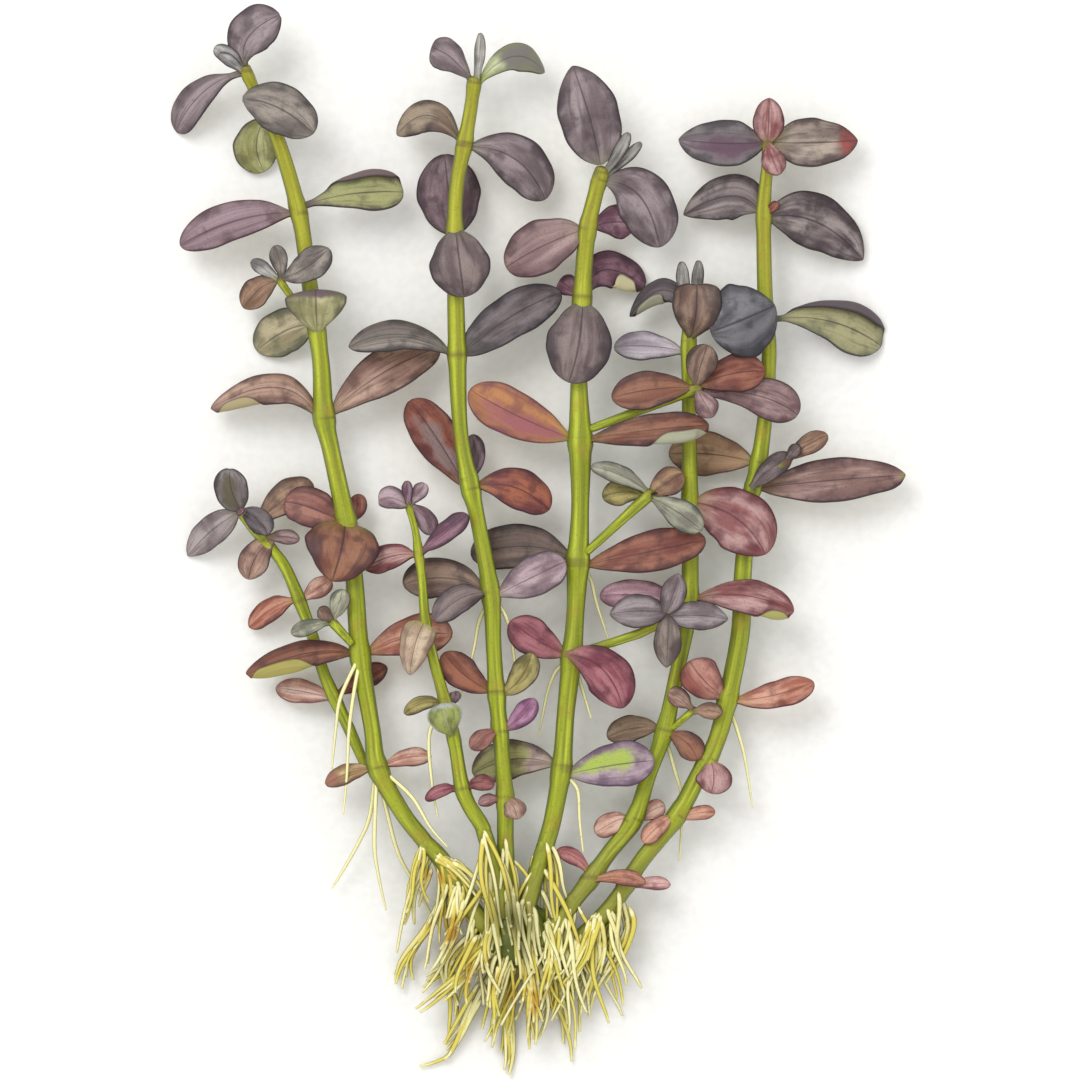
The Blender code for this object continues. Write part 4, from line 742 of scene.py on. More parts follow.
def underside(name, under, veins_and_shade, margin):
    """The paler back of a blade: the same wax, one soft colour, its veins a little raised and darker."""
    material, tree, shader = skin(name.replace(" ", "_") + "_underside", UNDERSIDE_ROUGHNESS, WAX_IOR)
    crosswise = add(tree, "SeparateXYZ", {0: add(tree, "UVMap").outputs[0]}).outputs[1]
    fine = streaked(tree, VEIN_STREAKS, LEAF_SHIFT)
    layers = (
        (veins_and_shade, (fine, 0.5, 0.75, 0.0, 0.3)),
        (veins_and_shade, (blotches(tree, WASH_MM, WASH_DETAIL), 0.56, 0.74, 0.0, 0.3)),
        (margin, (off_line(tree, crosswise, MIDRIB), 0.45, 0.49, 0.0, 0.8)),
    )
    paint(tree, shader, under, layers, fine, UNDERSIDE_DEPTH_MM)
    return material


SKINS = {}
for look_name, colours in LOOKS.items():
    face, wash, veins_and_shade, margin, base, under = colours.split()
    upper = blade_skin(look_name, face, wash, veins_and_shade, margin, base)
    SKINS[look_name] = (upper, underside(look_name, under, veins_and_shade, margin))


def stem_at(route, height):
    """The axis of a stem at a height up the plant, its radius there, and the way that it grows."""
    for low, high in zip(route, route[1:]):
        if height <= high[1] or high is route[-1]:
            share = (height - low[1]) / (high[1] - low[1])
            mixture = [a + (b - a) * share for a, b in zip(low, high)]
            return Vector(mixture[:3]), mixture[3], (Vector(high[:3]) - Vector(low[:3])).normalized()


def eased(value):
    """A share that starts and ends gently, and stays from 0 to 1."""
    value = min(max(value, 0.0), 1.0)
    return value * value * (3 - 2 * value)


def half_width(leaf, share):
    """Half the blade's width, a little uneven as a grown leaf is."""
    rise, fall = OUTLINES[leaf.outline]
    widest = rise / (rise + fall)
    half = leaf.width / 2 * (share / widest) ** rise * ((1 - share) / (1 - widest)) ** fall
    half *= 1 + sum(far * sin(share * often + leaf.height * own) for far, often, own in EDGE_WAVERS)
    return max(half, PETIOLE_HALF_WIDTH if share < PETIOLE_SHARE else LEAST_HALF_WIDTH)


def rolled(leaf, share, out, half):
    """Where a point this far from the midrib comes to lie when its margin rolls over the upper face."""
    side, start, part = leaf.roll
    flap = part * eased((share - start) / ROLL_GROWS) * eased((TIP_OF_ROLL - share) / ROLL_ENDS)
    crease = half - ROLL_RADIUS * min(flap * 4, 1)
    beyond = out * side * (1 + flap) - crease
    if beyond <= 0 or flap < LEAST_ROLL:
        return out, 0.0
    angle = beyond / ROLL_RADIUS
    if angle < pi:
        return side * (crease + ROLL_RADIUS * sin(angle)), ROLL_RADIUS * (1 - cos(angle))
    return side * (crease - beyond + pi * ROLL_RADIUS), ROLL_RADIUS * 2


def blade_point(leaf, base, tip, share, across):
    """A point of the blade's upper face, across from -1 to 1 between its edges."""
    reach = tip - base
    handle = (base + tip) / 2 + 2 * Vector(leaf.bow)
    place = base * (1 - share) ** 2 + handle * 2 * share * (1 - share) + tip * share**2
    ahead = ((handle - base) * (1 - share) + (tip - handle) * share).normalized()
    left = Vector((-reach.y, reach.x, 0)).normalized()
    face = ahead.cross(left).normalized()
    left = face.cross(ahead)
    side = 1 if reach.x > 0 else -1
    turn = Matrix.Rotation(radians(-leaf.tilt * side), 3, ahead)
    half = half_width(leaf, share)
    out, lifted = rolled(leaf, share, across * half, half) if leaf.roll else (across * half, 0.0)
    bend = radians(leaf.curl) / half
    up = (1 - cos(bend * out)) / bend + lifted + BLADE_THICKNESS / 2
    up -= MIDRIB_GROOVE * exp(-((across / MIDRIB_WIDTH) ** 2)) * sin(pi * share)
    up += MARGIN_RIPPLE * sin(share * RIPPLES + leaf.height + across) * across**2 * sin(pi * share)
    point = place + turn @ (left * (sin(bend * out) / bend) + face * up)
    point.z = max(point.z, BLADE_THICKNESS + LOWEST)
    return point


def blade(leaf, route):
    """One leaf. It starts inside the stem, and a large one stands for its own CAD node."""
    axis_point, radius, up_stem = stem_at(route, leaf.height)
    leaving = Vector(leaf.reach) / 2 + 2 * Vector(leaf.bow)
    leaving -= leaving.dot(up_stem) * up_stem
    base = axis_point + (Vector(leaf.start) if leaf.start else leaving.normalized() * radius * 0.6)
    tip = axis_point + Vector(leaf.reach)
    fine = 1 if Vector(leaf.reach).length > SMALL_LEAF else 0.5
    columns = int(LENGTHWISE * fine)
    rows = int(ACROSS * fine) * (2 if leaf.roll else 1)
    bm = bmesh.new()
    bm.loops.layers.uv.verify()
    grid = bmesh.ops.create_grid(bm, x_segments=columns, y_segments=rows, size=1, calc_uvs=True)["verts"]
    for vert in grid:
        share = (1 - cos(pi * (vert.co.x + 1) / 2)) / 2
        vert.co = blade_point(leaf, base, tip, share, vert.co.y)
    bmesh.ops.remove_doubles(bm, verts=grid, dist=WELD_BLADE)
    name = "leaf_" + leaf.name
    thing = piece(name, bm, SKINS[leaf.look], "stem_tissue", *([name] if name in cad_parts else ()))
    thickness = thing.modifiers.new("thickness", "SOLIDIFY")
    thickness.thickness = BLADE_THICKNESS * MM
    thickness.offset = -1
    thickness.material_offset = 1
    rounding = thing.modifiers.new("rounding", "SUBSURF")
    rounding.levels = 1
    rounding.render_levels = 1


def leafy_stem(name, route, leaves, crown=TIP_REACH):
    """A stem or a side shoot with all its leaves."""
    stem(name, route, leaves, crown)
    for leaf in leaves:
        blade(leaf, route)


# Stem 1, at the far left, leans out. It has smoke-coloured leaves at its tip, then some that turn over and
# show green backs, brown rose and rust red ones half way down, and small tan and coral ones near its foot.
leafy_stem("stem_1", (
    (-19.6, -49.2, 6.5, 1.4), (-23, -44.8, 6.8, 1.4), (-27, -37.5, 7, 1.6), (-28, -30.8, 7, 1.4),
    (-30, -18.4, 7, 1.6), (-31, -5.4, 7, 1.5), (-32.3, 3.6, 7, 1.6), (-34.7, 15, 7, 1.5),
    (-36, 21.2, 7, 1.7), (-36.6, 31, 7, 1.45), (-38.5, 43.9, 7, 1.35), (-40.2, 55.2, 7, 1.35),
    (-43.8, 67.6, 7.5, 1.2), (-47.6, 75.6, 8, 1), (-49.4, 79.6, 8.5, 0.9),
), (
    Leaf("1_0_right", 79.6, (6.1, 8.3, 1.2), 8, (-2.2, 0.6, 0.8), 10, 14, "smoke"),
    Leaf("1_0_left", 78.6, (-11.8, -9.6, -8.2), 6.2, (-1, 1.6, 1.4), 20, 10, "smoke", "spoon"),
    Leaf("1_0_bud", 78.8, (-5.2, 3.7, 0.4), 3, (0.2, 0.4, 0.6), 0, 25, "bud"),
    Leaf("1_0_small_bud", 78.8, (-4.4, 2.6, 1.6), 2, (0, 0.2, 0.4), 0, 25, "bud"),
    Leaf("1_1_front", 72.4, (8.4, -4.2, 2.6), 8.6, (0.2, 1.3, 0.5), 0, -14, "slate", "round",
         start=(-3.4, 1.6, 2.9)),
    Leaf("1_1_back", 71, (-0.6, -8.8, -6.6), 7.8, (-1.4, 0, -0.6), 0, 10, "turned sage", "round"),
    Leaf("1_2_left", 55.1, (-19.8, -5.4, -2), 7.6, (0, 1.5, 1.2), 25, 10, "rosy mauve"),
    Leaf("1_2_right", 55.9, (17.6, 2.6, -1), 6.8, (-0.4, 0.9, 1), 20, 10, "green lined ash", "spoon",
         roll=(1, 0.25, 0.5)),
    Leaf("1_3_front", 34.8, (-0.2, 7.4, 3.6), 11, (0, 0.4, 2), 0, -14, "turned olive", "wedge"),
    Leaf("1_3_back", 36.6, (-9.9, -4.4, -6.4), 7.8, (0.2, 1.2, -0.8), 0, 8, "sage", "round"),
    Leaf("1_4_left", 21, (-18.9, 1.4, -3), 6.6, (2, 4.4, 1.2), 35, -14, "brown rose", roll=(1, 0.55, 0.6)),
    Leaf("1_4_right", 21.2, (19.3, 11.5, -2.2), 8, (-0.9, 1, 0.6), 15, 10, "brown rose"),
    Leaf("1_5_front", 3.4, (-2.4, -9.6, 3.6), 12.6, (0.4, 0, 2.2), 0, -10, "rust", "heart"),
    Leaf("1_5_left", 3.8, (-10.2, 3, -0.6), 7, (-0.4, 0.8, 0.8), 15, 10, "garnet", "round"),
    Leaf("1_5_back", 3.4, (1.6, 4.8, -3), 3.4, (0.6, 0, -0.6), 0, 10, "brick"),
    Leaf("1_6_left", -18.4, (-19, -3.4, -2), 6, (1.4, 1.9, 1.4), 35, -12, "olive lined rust",
         roll=(1, 0.4, 0.8)),
    Leaf("1_6_right", -18.6, (15.3, 3.4, -1.6), 7.2, (0.4, 1.3, -0.6), 15, 10, "coral"),
    Leaf("1_7_left", -37.4, (-8.7, -2.8, -1), 3.6, (0, 0.6, 0.4), 25, 10, "tan"),
    Leaf("1_7_right", -37.2, (8.9, 1.6, -1), 3.4, (0, 0.6, 0.4), 25, 10, "pale coral"),
))

# Stem 2, the short thin one beside it, ends in a curled lilac rosette half way up the plant. A cream
# heart-shaped leaf hangs in front of it, and lower down stands a small green cup with a pale rim.
leafy_stem("stem_2", (
    (-9.9, -46.6, 9.2, 1.3), (-12.7, -41.6, 9.6, 1.25), (-14.2, -33.2, 9.8, 1.1), (-15.8, -26.4, 10, 1),
    (-17.6, -19.8, 10, 0.9), (-19, -13.4, 10, 0.85), (-19.6, -6.6, 10, 0.75), (-20.2, -1.6, 10, 0.75),
    (-20.8, 2.4, 10, 0.6), (-22.1, 7, 10.2, 0.55),
), (
    Leaf("2_0_curl", 6.4, (-4.8, 0.6, 0.4), 4.2, (-0.2, 0.8, 0.8), 20, 40, "lilac", "round"),
    Leaf("2_0_bud", 6.6, (-0.2, 3.8, 1.2), 1.8, (0, 0, 0.3), 0, 25, "dusky magenta"),
    Leaf("2_0_right", 6.6, (2.8, 3.4, 0.2), 2.6, (0.2, 0, 0.3), 0, 25, "lilac"),
    Leaf("2_0_low", 6.2, (3.6, -4.8, -1.4), 3.4, (0.8, 0.4, 0.4), 0, 20, "rosy mauve"),
    Leaf("2_1_left", -1.8, (-9, -2.4, -2.6), 4.8, (0, 0.8, -0.4), 20, 10, "rose"),
    Leaf("2_1_right", -1.6, (8.2, 6.4, 1), 3.8, (0.2, 0.2, 0.6), 20, 12, "plum"),
    Leaf("2_3_front", -13.2, (-2.6, -8.6, 2.4), 6, (-0.3, 0.8, 1.6), 0, -15, "cream", "heart"),
    Leaf("2_4_left", -26.6, (-6.8, -1.8, -1), 2.8, (0, 1, 0.4), 20, 15, "olive"),
    Leaf("2_4_front", -32, (-1.8, 5.4, 3), 6, (0, -0.6, 1.4), 0, 22, "rimmed green", "spoon"),
    Leaf("2_4_right", -26.8, (1.6, 2.2, -1.6), 2, (0.4, 0, -0.2), 0, 10, "dusk"),
    Leaf("2_5_left", -40.8, (-6.2, -2, -0.6), 2.4, (0, 0.8, 0.2), 20, 10, "wine"),
    Leaf("2_5_right", -40.8, (5.2, 0.4, 1.6), 3, (0, 0.8, 0.6), 20, 10, "warm wine"),
))

# Stem 3, tall and straight. Its leaves run from smoke and slate at the top through brick red at the middle
# to olive, magenta and rose near its foot, and its topmost right leaf folds over and shows its green back.
leafy_stem("stem_3", (
    (-5.8, -48.2, 7.4, 1.4), (-5.8, -42.4, 8.2, 1.4), (-6.4, -34.2, 8.6, 1.3), (-7.2, -25.4, 9, 1.4),
    (-7.7, -17.5, 9, 1.3), (-8.2, -8.4, 9, 1.45), (-10.3, 3.6, 9, 1.3), (-11.6, 9.4, 9, 1.5),
    (-13.2, 18.4, 9, 1.25), (-13.8, 31.4, 9, 1.5), (-14.2, 52.2, 9, 1.3), (-13.8, 60, 9, 1.25),
    (-12.6, 66.4, 9, 1.25), (-11.6, 72, 9, 1.15), (-10.8, 77.8, 9.2, 1.1),
), (
    Leaf("3_0_left", 77, (-7.2, 5.4, 1), 6.2, (0.1, 1, 0.6), 20, -15, "smoke", "wedge"),
    Leaf("3_0_bud", 77, (1, 8, 0.8), 1.8, (0.2, 0, 0.2), 0, 25, "pale bud"),
    Leaf("3_0_right", 76.6, (11.6, 1.8, -2.2), 5.4, (0.4, 3.6, 1), 20, -12, "folding green"),
    Leaf("3_1_left", 66.8, (-11.2, 1.2, -3), 6.4, (0, 3.8, 0.6), 20, -12, "striped umber"),
    Leaf("3_1_right", 66.2, (13.4, -8.8, -4.4), 8.8, (1.4, 2.3, 1), 10, 10, "smoke"),
    Leaf("3_2_back", 51.4, (-1.8, 13.6, -6.8), 10.6, (0, -0.6, -1.2), 0, 8, "dusk", "round"),
    Leaf("3_2_front", 52.2, (1.6, -11.2, 3.2), 10.2, (0, 0, 2.2), 0, -10, "ash", "round"),
    Leaf("3_3_left", 31.4, (-18, 1.2, -0.6), 6.2, (0.4, 2.8, 1), 30, -12, "slate"),
    Leaf("3_3_right", 31.4, (17.3, 10.4, -2.4), 7.9, (-0.3, 1, 1), 15, 8, "charcoal", "round"),
    Leaf("3_4_left", 9.2, (-10.2, 14.6, -3), 7.8, (0.2, 0.4, -0.6), 15, 8, "two tone red"),
    Leaf("3_4_back", 10.6, (0.4, 7.6, -4), 3.6, (0.6, 0, -0.8), 0, 8, "dusk"),
    Leaf("3_4_right", 9.4, (13.1, -3.8, -1.6), 7.2, (0.4, 1.7, 0.8), 15, 8, "sunset"),
    Leaf("3_6_back", -7.6, (-14.4, 0.6, -3.2), 7.2, (0, 1.6, -0.8), 15, 8, "umber"),
    Leaf("3_6_left", -8.4, (-9.3, -4.6, 3.2), 5.2, (0, 1.6, 1), 20, 12, "ash"),
    Leaf("3_6_right", -8.8, (12.4, 5.8, 1.4), 7, (0.2, 0.2, 0.8), 10, 8, "lilac"),
    Leaf("3_7_left", -24.6, (-8.8, 6.4, -1.4), 5.6, (-0.4, -0.6, 0.2), 10, 8, "red brick"),
    Leaf("3_7_right", -25.2, (5.8, 7, 1), 4.6, (0.8, -0.6, 0.6), 10, 10, "olive"),
    Leaf("3_8_right", -31, (5.8, 5.2, 1.4), 3.8, (0.4, -0.4, 0.6), 10, 10, "magenta"),
    Leaf("3_8_left", -31.2, (-4.8, -3, 2.2), 3.4, (0, 0.4, 0.8), 10, 10, "garnet"),
    Leaf("3_9_left", -42.6, (-4.4, -0.8, 0.6), 2.2, (0, 0.4, 0.4), 10, 10, "rose"),
    Leaf("3_9_front", -42.4, (2, -3.4, 2.8), 4, (0.4, 0, 1.2), 0, -10, "brown rose", "round"),
))

# Stem 4, in the middle, is the thickest. It has broad smoke, plum and ash leaves at its top, orange and rust
# ones below them, then wine red ones, and near its foot a lilac leaf with a lime patch.
leafy_stem("stem_4", (
    (1.2, -49.4, 7, 1.5), (2.2, -45.6, 7.4, 1.5), (3.6, -37.4, 8, 1.6), (4.3, -28.2, 8, 1.5),
    (5.3, -18.9, 8, 1.7), (5.9, -11.5, 8, 1.5), (6.3, -3.2, 8, 1.8), (6.7, 6.5, 8, 1.5), (6.7, 17, 8, 1.9),
    (6.5, 27.5, 8, 1.4), (7, 40.4, 8, 1.5), (7.8, 51.4, 8, 1.4), (9.2, 58, 8.2, 1.3),
    (10.6, 62.8, 8.6, 1.1),
), (
    Leaf("4_0_left", 62.9, (-5.2, 16.6, 0.4), 10.4, (0.5, -0.3, 1), 0, 12, "smoke", "pointed"),
    Leaf("4_0_bud", 62, (4.4, 6.4, 1.4), 2.2, (0.2, -0.2, 0.4), 0, 25, "dark bud"),
    Leaf("4_0_small_bud", 61.6, (6.6, 5.2, 0.4), 1.8, (0.2, -0.2, 0.3), 0, 25, "dark bud"),
    Leaf("4_0_right", 60.4, (10, -11, -2), 9.8, (1.4, 3, 1.2), 0, 8, "smoke"),
    Leaf("4_1_left", 52, (-13.5, -6, -2.4), 9.2, (-0.4, 0.4, 0.8), 15, 8, "dusky rose", "round"),
    Leaf("4_1_right", 52.8, (7.8, 0.2, -4.6), 6, (0.2, 0.8, -0.6), 10, 8, "light plum"),
    Leaf("4_2_back", 41, (10.4, 1.8, -6.6), 6.6, (-1.6, 3.8, -1.2), 10, 8, "plum", roll=(-1, 0.5, 1)),
    Leaf("4_2_left", 41.2, (-3.8, 2.6, -3.4), 4, (-0.2, 0.4, -0.4), 10, 8, "plum"),
    Leaf("4_2_front", 40.2, (-2.2, -13.4, 3.4), 11, (0.6, 0, 2), 0, -8, "ash", "round"),
    Leaf("4_3_left", 17.4, (-18.4, 8.2, 0.8), 8.2, (-0.4, -0.4, 0.6), 10, 8, "orange"),
    Leaf("4_3_right", 17.2, (21.4, 2.4, 2.6), 6, (0.2, 0.4, 1.6), 25, 8, "sage lined rust",
         roll=(-1, 0.45, 0.75)),
    Leaf("4_4_left", -2.4, (-17.8, 0.2, -4.4), 8, (0.2, 1.8, -0.8), 15, 8, "dark umber"),
    Leaf("4_4_right", -3.6, (21.3, 4.2, 1), 7.2, (0.2, 0, 0.4), 15, 8, "brick"),
    Leaf("4_5_left", -18.8, (-10.3, 5.8, 0.4), 6.4, (-0.2, -0.2, 0.6), 10, 8, "wine"),
    Leaf("4_5_right", -19, (8.4, -8.4, 2.6), 8, (1.5, 2, 1), 0, -8, "wine", start=(-1.2, 0.6, 2.9)),
    Leaf("4_6_left", -37, (-14.8, -1.6, -4.8), 7, (0, 1.8, -0.8), 15, 8, "half green"),
    Leaf("4_6_right", -38.4, (15.6, 2.2, 0.4), 7.8, (0.2, 0.4, 0.8), 10, 8, "lime heart"),
))

# Stem 5 curves in to the rootstock. Two grey buds stand behind the brown leaf that cups its tip, and half
# way down it has a broad rose leaf with pink blotches.
leafy_stem("stem_5", (
    (6.4, -58.6, 6, 1.4), (8.7, -55.6, 5.8, 1.4), (11.5, -51.6, 5.6, 1.35), (15.6, -46.2, 5.5, 1.4),
    (18.2, -38.4, 5.5, 1.3), (20.8, -31.2, 5.5, 1.4), (23, -20.8, 5.5, 1.25), (24.4, -14.6, 5.5, 1.25),
    (25, -9.8, 5.5, 1.4), (25, 7.2, 5.5, 1.4), (24.9, 19, 5.5, 1.2), (24.8, 32.2, 5.5, 1.2),
    (25.1, 40.8, 6, 0.9),
), (
    Leaf("5_0_bud", 39.6, (-1.4, 7.4, 0.6), 2.2, (-0.2, 0, 0.2), 0, 25, "bud"),
    Leaf("5_0_small_bud", 39.6, (1.4, 7.6, 0.8), 2, (0.2, 0, 0.2), 0, 25, "dark bud"),
    Leaf("5_0_left", 39.4, (-10, -1.6, -1.4), 4.6, (0.4, 3.6, 0.2), 25, -12, "charcoal", "pointed",
         roll=(1, 0.3, 0.8)),
    Leaf("5_0_front", 34.2, (1.2, 8.8, 3.4), 8.6, (0.4, -0.4, 2.2), 0, 25, "umber", "wedge"),
    Leaf("5_1_left", 31.9, (-12.4, 0.8, -1.4), 5.2, (0, 0.6, 0.2), 20, 10, "lavender"),
    Leaf("5_4_right", 6.8, (12.5, -8.6, 3.8), 10.6, (1.2, 1.6, 1.8), 5, -6, "rose", "round"),
    Leaf("5_5_left", -9.8, (-15, 1, 0.4), 5.6, (0, 0.6, 0.6), 25, 8, "pink mauve"),
    Leaf("5_5_right", -9.2, (17.2, -2.2, 3.2), 6.6, (0.2, 1.6, 2.2), 25, -8, "rose", roll=(-1, 0.6, 0.6)),
    Leaf("5_6_left", -31, (-9.6, -1.4, -0.6), 4.8, (0, 0.8, 0.2), 20, 8, "brown umber"),
    Leaf("5_6_right", -31.4, (5.4, -4.8, 2), 4.6, (0.8, 0.6, 1), 10, 10, "rust"),
    Leaf("5_7_left", -46.2, (-6.4, -2.2, -0.8), 4.2, (0, 0.4, 0.2), 20, 8, "pale coral"),
    Leaf("5_7_right", -46, (5.2, 2.2, -1.2), 3.6, (0, 0.4, 0), 20, 8, "pale coral"),
    Leaf("5_8_left", -55.4, (-6.2, 4, 0.4), 2.8, (0.4, 0.8, 0.4), 10, 8, "crimson"),
    Leaf("5_8_right", -55.8, (9, -0.8, 3.2), 2.8, (0.2, 0.8, 1.4), 10, 8, "burnt coral"),
))

# Stem 6, at the far right, has a rosette of four leaves around a dark red crown. Below it are a dark grey
# round leaf that hangs over the stem and the longest leaf of all.
leafy_stem("stem_6", (
    (14.2, -57.2, 6, 1.4), (17, -52.8, 6, 1.4), (22.8, -45.4, 6, 1.5), (26.4, -38.8, 6, 1.5),
    (29.4, -33, 6, 1.5), (31.3, -25.8, 6, 1.6), (33.4, -15, 6, 1.6), (33.8, -5.6, 6, 1.5),
    (34.8, 5.8, 6, 1.35), (36.4, 13, 6, 1.4), (37.6, 22, 6, 1.25), (38.2, 32, 6, 1.25),
    (37.6, 39.2, 6, 1.3), (37.3, 54.8, 6, 1.2), (37.9, 63, 6, 1), (38, 67.6, 6.2, 1),
), (
    Leaf("6_0_left", 66.8, (-14.8, 0.6, -2.6), 8.2, (0.2, -0.4, 0.8), 15, 10, "purple heart", "pointed"),
    Leaf("6_0_top", 66.8, (0.2, 7.4, 1.6), 5.4, (0, 0, 0.8), 0, 18, "rose", "pointed"),
    Leaf("6_0_front", 66.8, (1.8, -5.4, 3), 4.4, (-0.2, 0, 1.8), 0, -12, "rose"),
    Leaf("6_0_right", 66.8, (15, 0.4, -1.6), 8.6, (-0.2, -0.2, 0.8), 15, 10, "ruddy tip", "pointed"),
    Leaf("6_1_left", 55.2, (-13.3, -0.4, -2.6), 8.6, (1.4, 2.9, 0.8), 20, -10, "striped dusk", "pointed"),
    Leaf("6_1_right", 54.4, (16.6, -7, -5), 9.6, (0.4, 2.6, 1), 10, 8, "striped dusk", "pointed"),
    Leaf("6_1_bud", 55.2, (2.4, 1.6, 1.2), 1.6, (0, 0, 0.2), 0, 20, "brick"),
    Leaf("6_2_left", 38.8, (-9.2, -3.6, 3.6), 13, (0.4, 0, 2.2), 5, -14, "midnight", "round",
         start=(1.4, 0.8, 2.9)),
    Leaf("6_2_right", 37.2, (19.2, -4.2, -5.4), 8.4, (0.4, 2, 0.8), 15, -8, "green lined charcoal", "spoon",
         roll=(1, 0.1, 0.55)),
    Leaf("6_4_left", 13.4, (-14.9, 1.6, -5.4), 7.6, (0.4, 0.6, -0.8), 10, 8, "brown olive"),
    Leaf("6_4_right", 9.4, (25.4, 2, -1.6), 7.6, (0, 0.2, 1), 15, 8, "mauve brown", "lance",
         roll=(-1, 0.82, 0.7)),
    Leaf("6_6_right", -26, (14.4, 2.8, -0.6), 5.2, (0.2, -0.6, 1), 25, 10, "coral"),
    Leaf("6_6_left", -25.8, (-6.4, 6.2, 2.6), 6.8, (-0.4, -0.2, 1.2), 5, 8, "rose brick"),
    Leaf("6_7_front", -36, (0.6, -5.6, 2.4), 6.2, (0.6, 0.2, 1.2), 0, 8, "rose"),
    Leaf("6_8_left", -45.6, (-5.5, -4.2, 1.4), 3.4, (-0.2, 0.2, 0.8), 10, 8, "coral"),
    Leaf("6_8_right", -45.4, (6.4, 0.6, 0.2), 2.6, (0, 0.4, 0.4), 10, 8, "coral"),
    Leaf("6_9_right", -56.6, (7.2, -0.4, -0.4), 2.4, (0, 0.4, 0.2), 10, 8, "pink rose"),
), crown=2.4)

# The side shoots. Young stems a millimetre or two thick that grow from the joint of a leaf, each with a
# rosette of small leaves at its tip. Two of them are dark far down from the tip.
leafy_stem("shoot_1_upper", (
    (-40.9, 40.4, 8.4, 0.6), (-42.8, 43, 8.8, 0.6), (-43.5, 44.6, 9.2, 0.7),
), (
    Leaf("1a_west", 44.2, (-4.8, 2.8, 0.6), 2.4, (0, 0.2, 0.3), 0, 15, "bud"),
    Leaf("1a_top", 44.2, (-0.8, 5.4, 1), 3, (0.2, 0, 0.4), 0, 20, "slate"),
    Leaf("1a_east", 44, (8.2, 5, 2.8), 5.4, (0.2, -0.6, 1), 10, 8, "slate"),
    Leaf("1a_low", 44, (-6.2, -4.6, -5.6), 4.8, (-0.2, 0.8, 0.6), 0, 8, "tan brown"),
))
leafy_stem("shoot_1_lower", (
    (-29.3, -36.8, 4.9, 0.8), (-31.9, -30.8, 4.8, 1), (-35.8, -22.4, 4.6, 1), (-37.6, -16.6, 4.6, 1),
    (-39.1, -12.2, 4.6, 1), (-42.2, -4.6, 4.8, 1), (-44.7, -1, 5.2, 0.9), (-47.6, 2.4, 6, 0.85),
    (-50.3, 5.9, 7, 0.8),
), (
    Leaf("1b_cup", 5.6, (-1.6, 6.8, 2.4), 6, (-0.6, 0, 0.6), 0, 35, "cup", "round"),
    Leaf("1b_bud", 5.6, (0.6, -0.6, 2.8), 1.8, (0, 0, 0.2), 0, 20, "pink mauve"),
    Leaf("1b_west", 5.4, (-8.9, -7.4, -6.8), 5.2, (-0.4, 0.4, 1), 0, 8, "pale smoke", "pointed"),
    Leaf("1b_east", 5.4, (4.6, -4, 2), 4.6, (0.6, 0.4, 0.6), 0, -25, "charcoal", "round"),
    Leaf("1b_1_right", 2.6, (10, 7, -1.8), 6, (0, 1.2, 0.2), 20, 8, "tan brown"),
    Leaf("1b_1_left", 0.4, (-2.8, -6.4, -1), 5.2, (-0.8, 0.4, 0.4), 0, 8, "brown rose",
         start=(1.8, 1, 0.6)),
    Leaf("1b_1_small", 0.6, (6, 0, 1), 2.6, (0, 0.4, 0.2), 10, 8, "dusky rose"),
    Leaf("1b_2_left", -9.2, (-8.2, -4.8, -3), 4.2, (0, 0.8, 0.4), 20, 8, "burnt coral"),
    Leaf("1b_2_right", -9.6, (5.4, 3.4, -1), 3.6, (0, 0.2, 0.2), 10, 8, "pale coral"),
    Leaf("1b_4_left", -25.6, (-9.8, 1.4, -3.4), 4.4, (0.2, 0.2, 0.2), 20, 8, "pale rose"),
    Leaf("1b_4_right", -25.4, (8.8, 4.8, -2), 4, (0.2, 0.2, -0.8), 20, 8, "brick"),
))
leafy_stem("shoot_1_middle", (
    (-32.3, -15.6, 8.9, 0.7), (-35.2, -12.4, 9.4, 0.8),
), (
    Leaf("1c_top", -12.8, (2, 5.2, 1), 3.4, (0.2, 0, 0.4), 0, 12, "grey green"),
    Leaf("1c_left", -12.8, (-6.6, -2.2, -0.2), 2.8, (0, 0.2, 0.4), 10, 12, "grey green"),
    Leaf("1c_bud", -12.8, (-2, 1.8, 1.6), 2.4, (0, 0.2, 0.2), 0, 20, "umber"),
))
leafy_stem("shoot_4_upper", (
    (9.2, 19.4, 8.2, 0.7), (16.7, 22.2, 8.4, 0.8), (25, 25.4, 9.4, 0.8), (27.2, 26.2, 9.8, 0.8),
), (
    Leaf("4a_left", 25.6, (-13.6, -1.4, 0.6), 6.6, (0.2, 0.6, 0.8), 15, 8, "rust"),
    Leaf("4a_right", 25.8, (11.4, 2.8, -0.2), 6.8, (0.2, 0.8, 0.8), 15, 8, "brick"),
    Leaf("4a_top", 25.8, (1.8, 7.2, 2.6), 5.4, (-0.2, 0, 0.8), 0, 15, "umber"),
    Leaf("4a_front", 25.8, (2.6, -4.8, 3), 4.2, (0, 0, 1.2), 0, -10, "dusky rose"),
    Leaf("4a_far_right", 25.2, (18.4, -3.8, -0.4), 7, (1.2, 1.8, 0.6), 10, 10, "dusky rose", "spoon"),
))
leafy_stem("shoot_4_middle", (
    (8.8, -0.5, 9.1, 0.7), (17.4, 7.4, 10, 0.9), (18.7, 8.3, 10.2, 0.8),
), (
    Leaf("4b_upper_left", 8, (-9.8, 4.8, 0.2), 3.3, (0.6, 0.6, 0.6), 10, 10, "blue green"),
    Leaf("4b_left", 7.4, (-7, 0.2, -1.4), 4.8, (0.2, 0.8, 0), 20, 8, "olive"),
    Leaf("4b_right", 7.8, (6, 3.8, -0.8), 5.2, (0, 0.2, 0), 20, 8, "lime foot"),
    Leaf("4b_low", 8, (8.6, -5.8, 0.6), 5, (0.4, 0.2, 0.8), 0, 8, "blue green"),
))
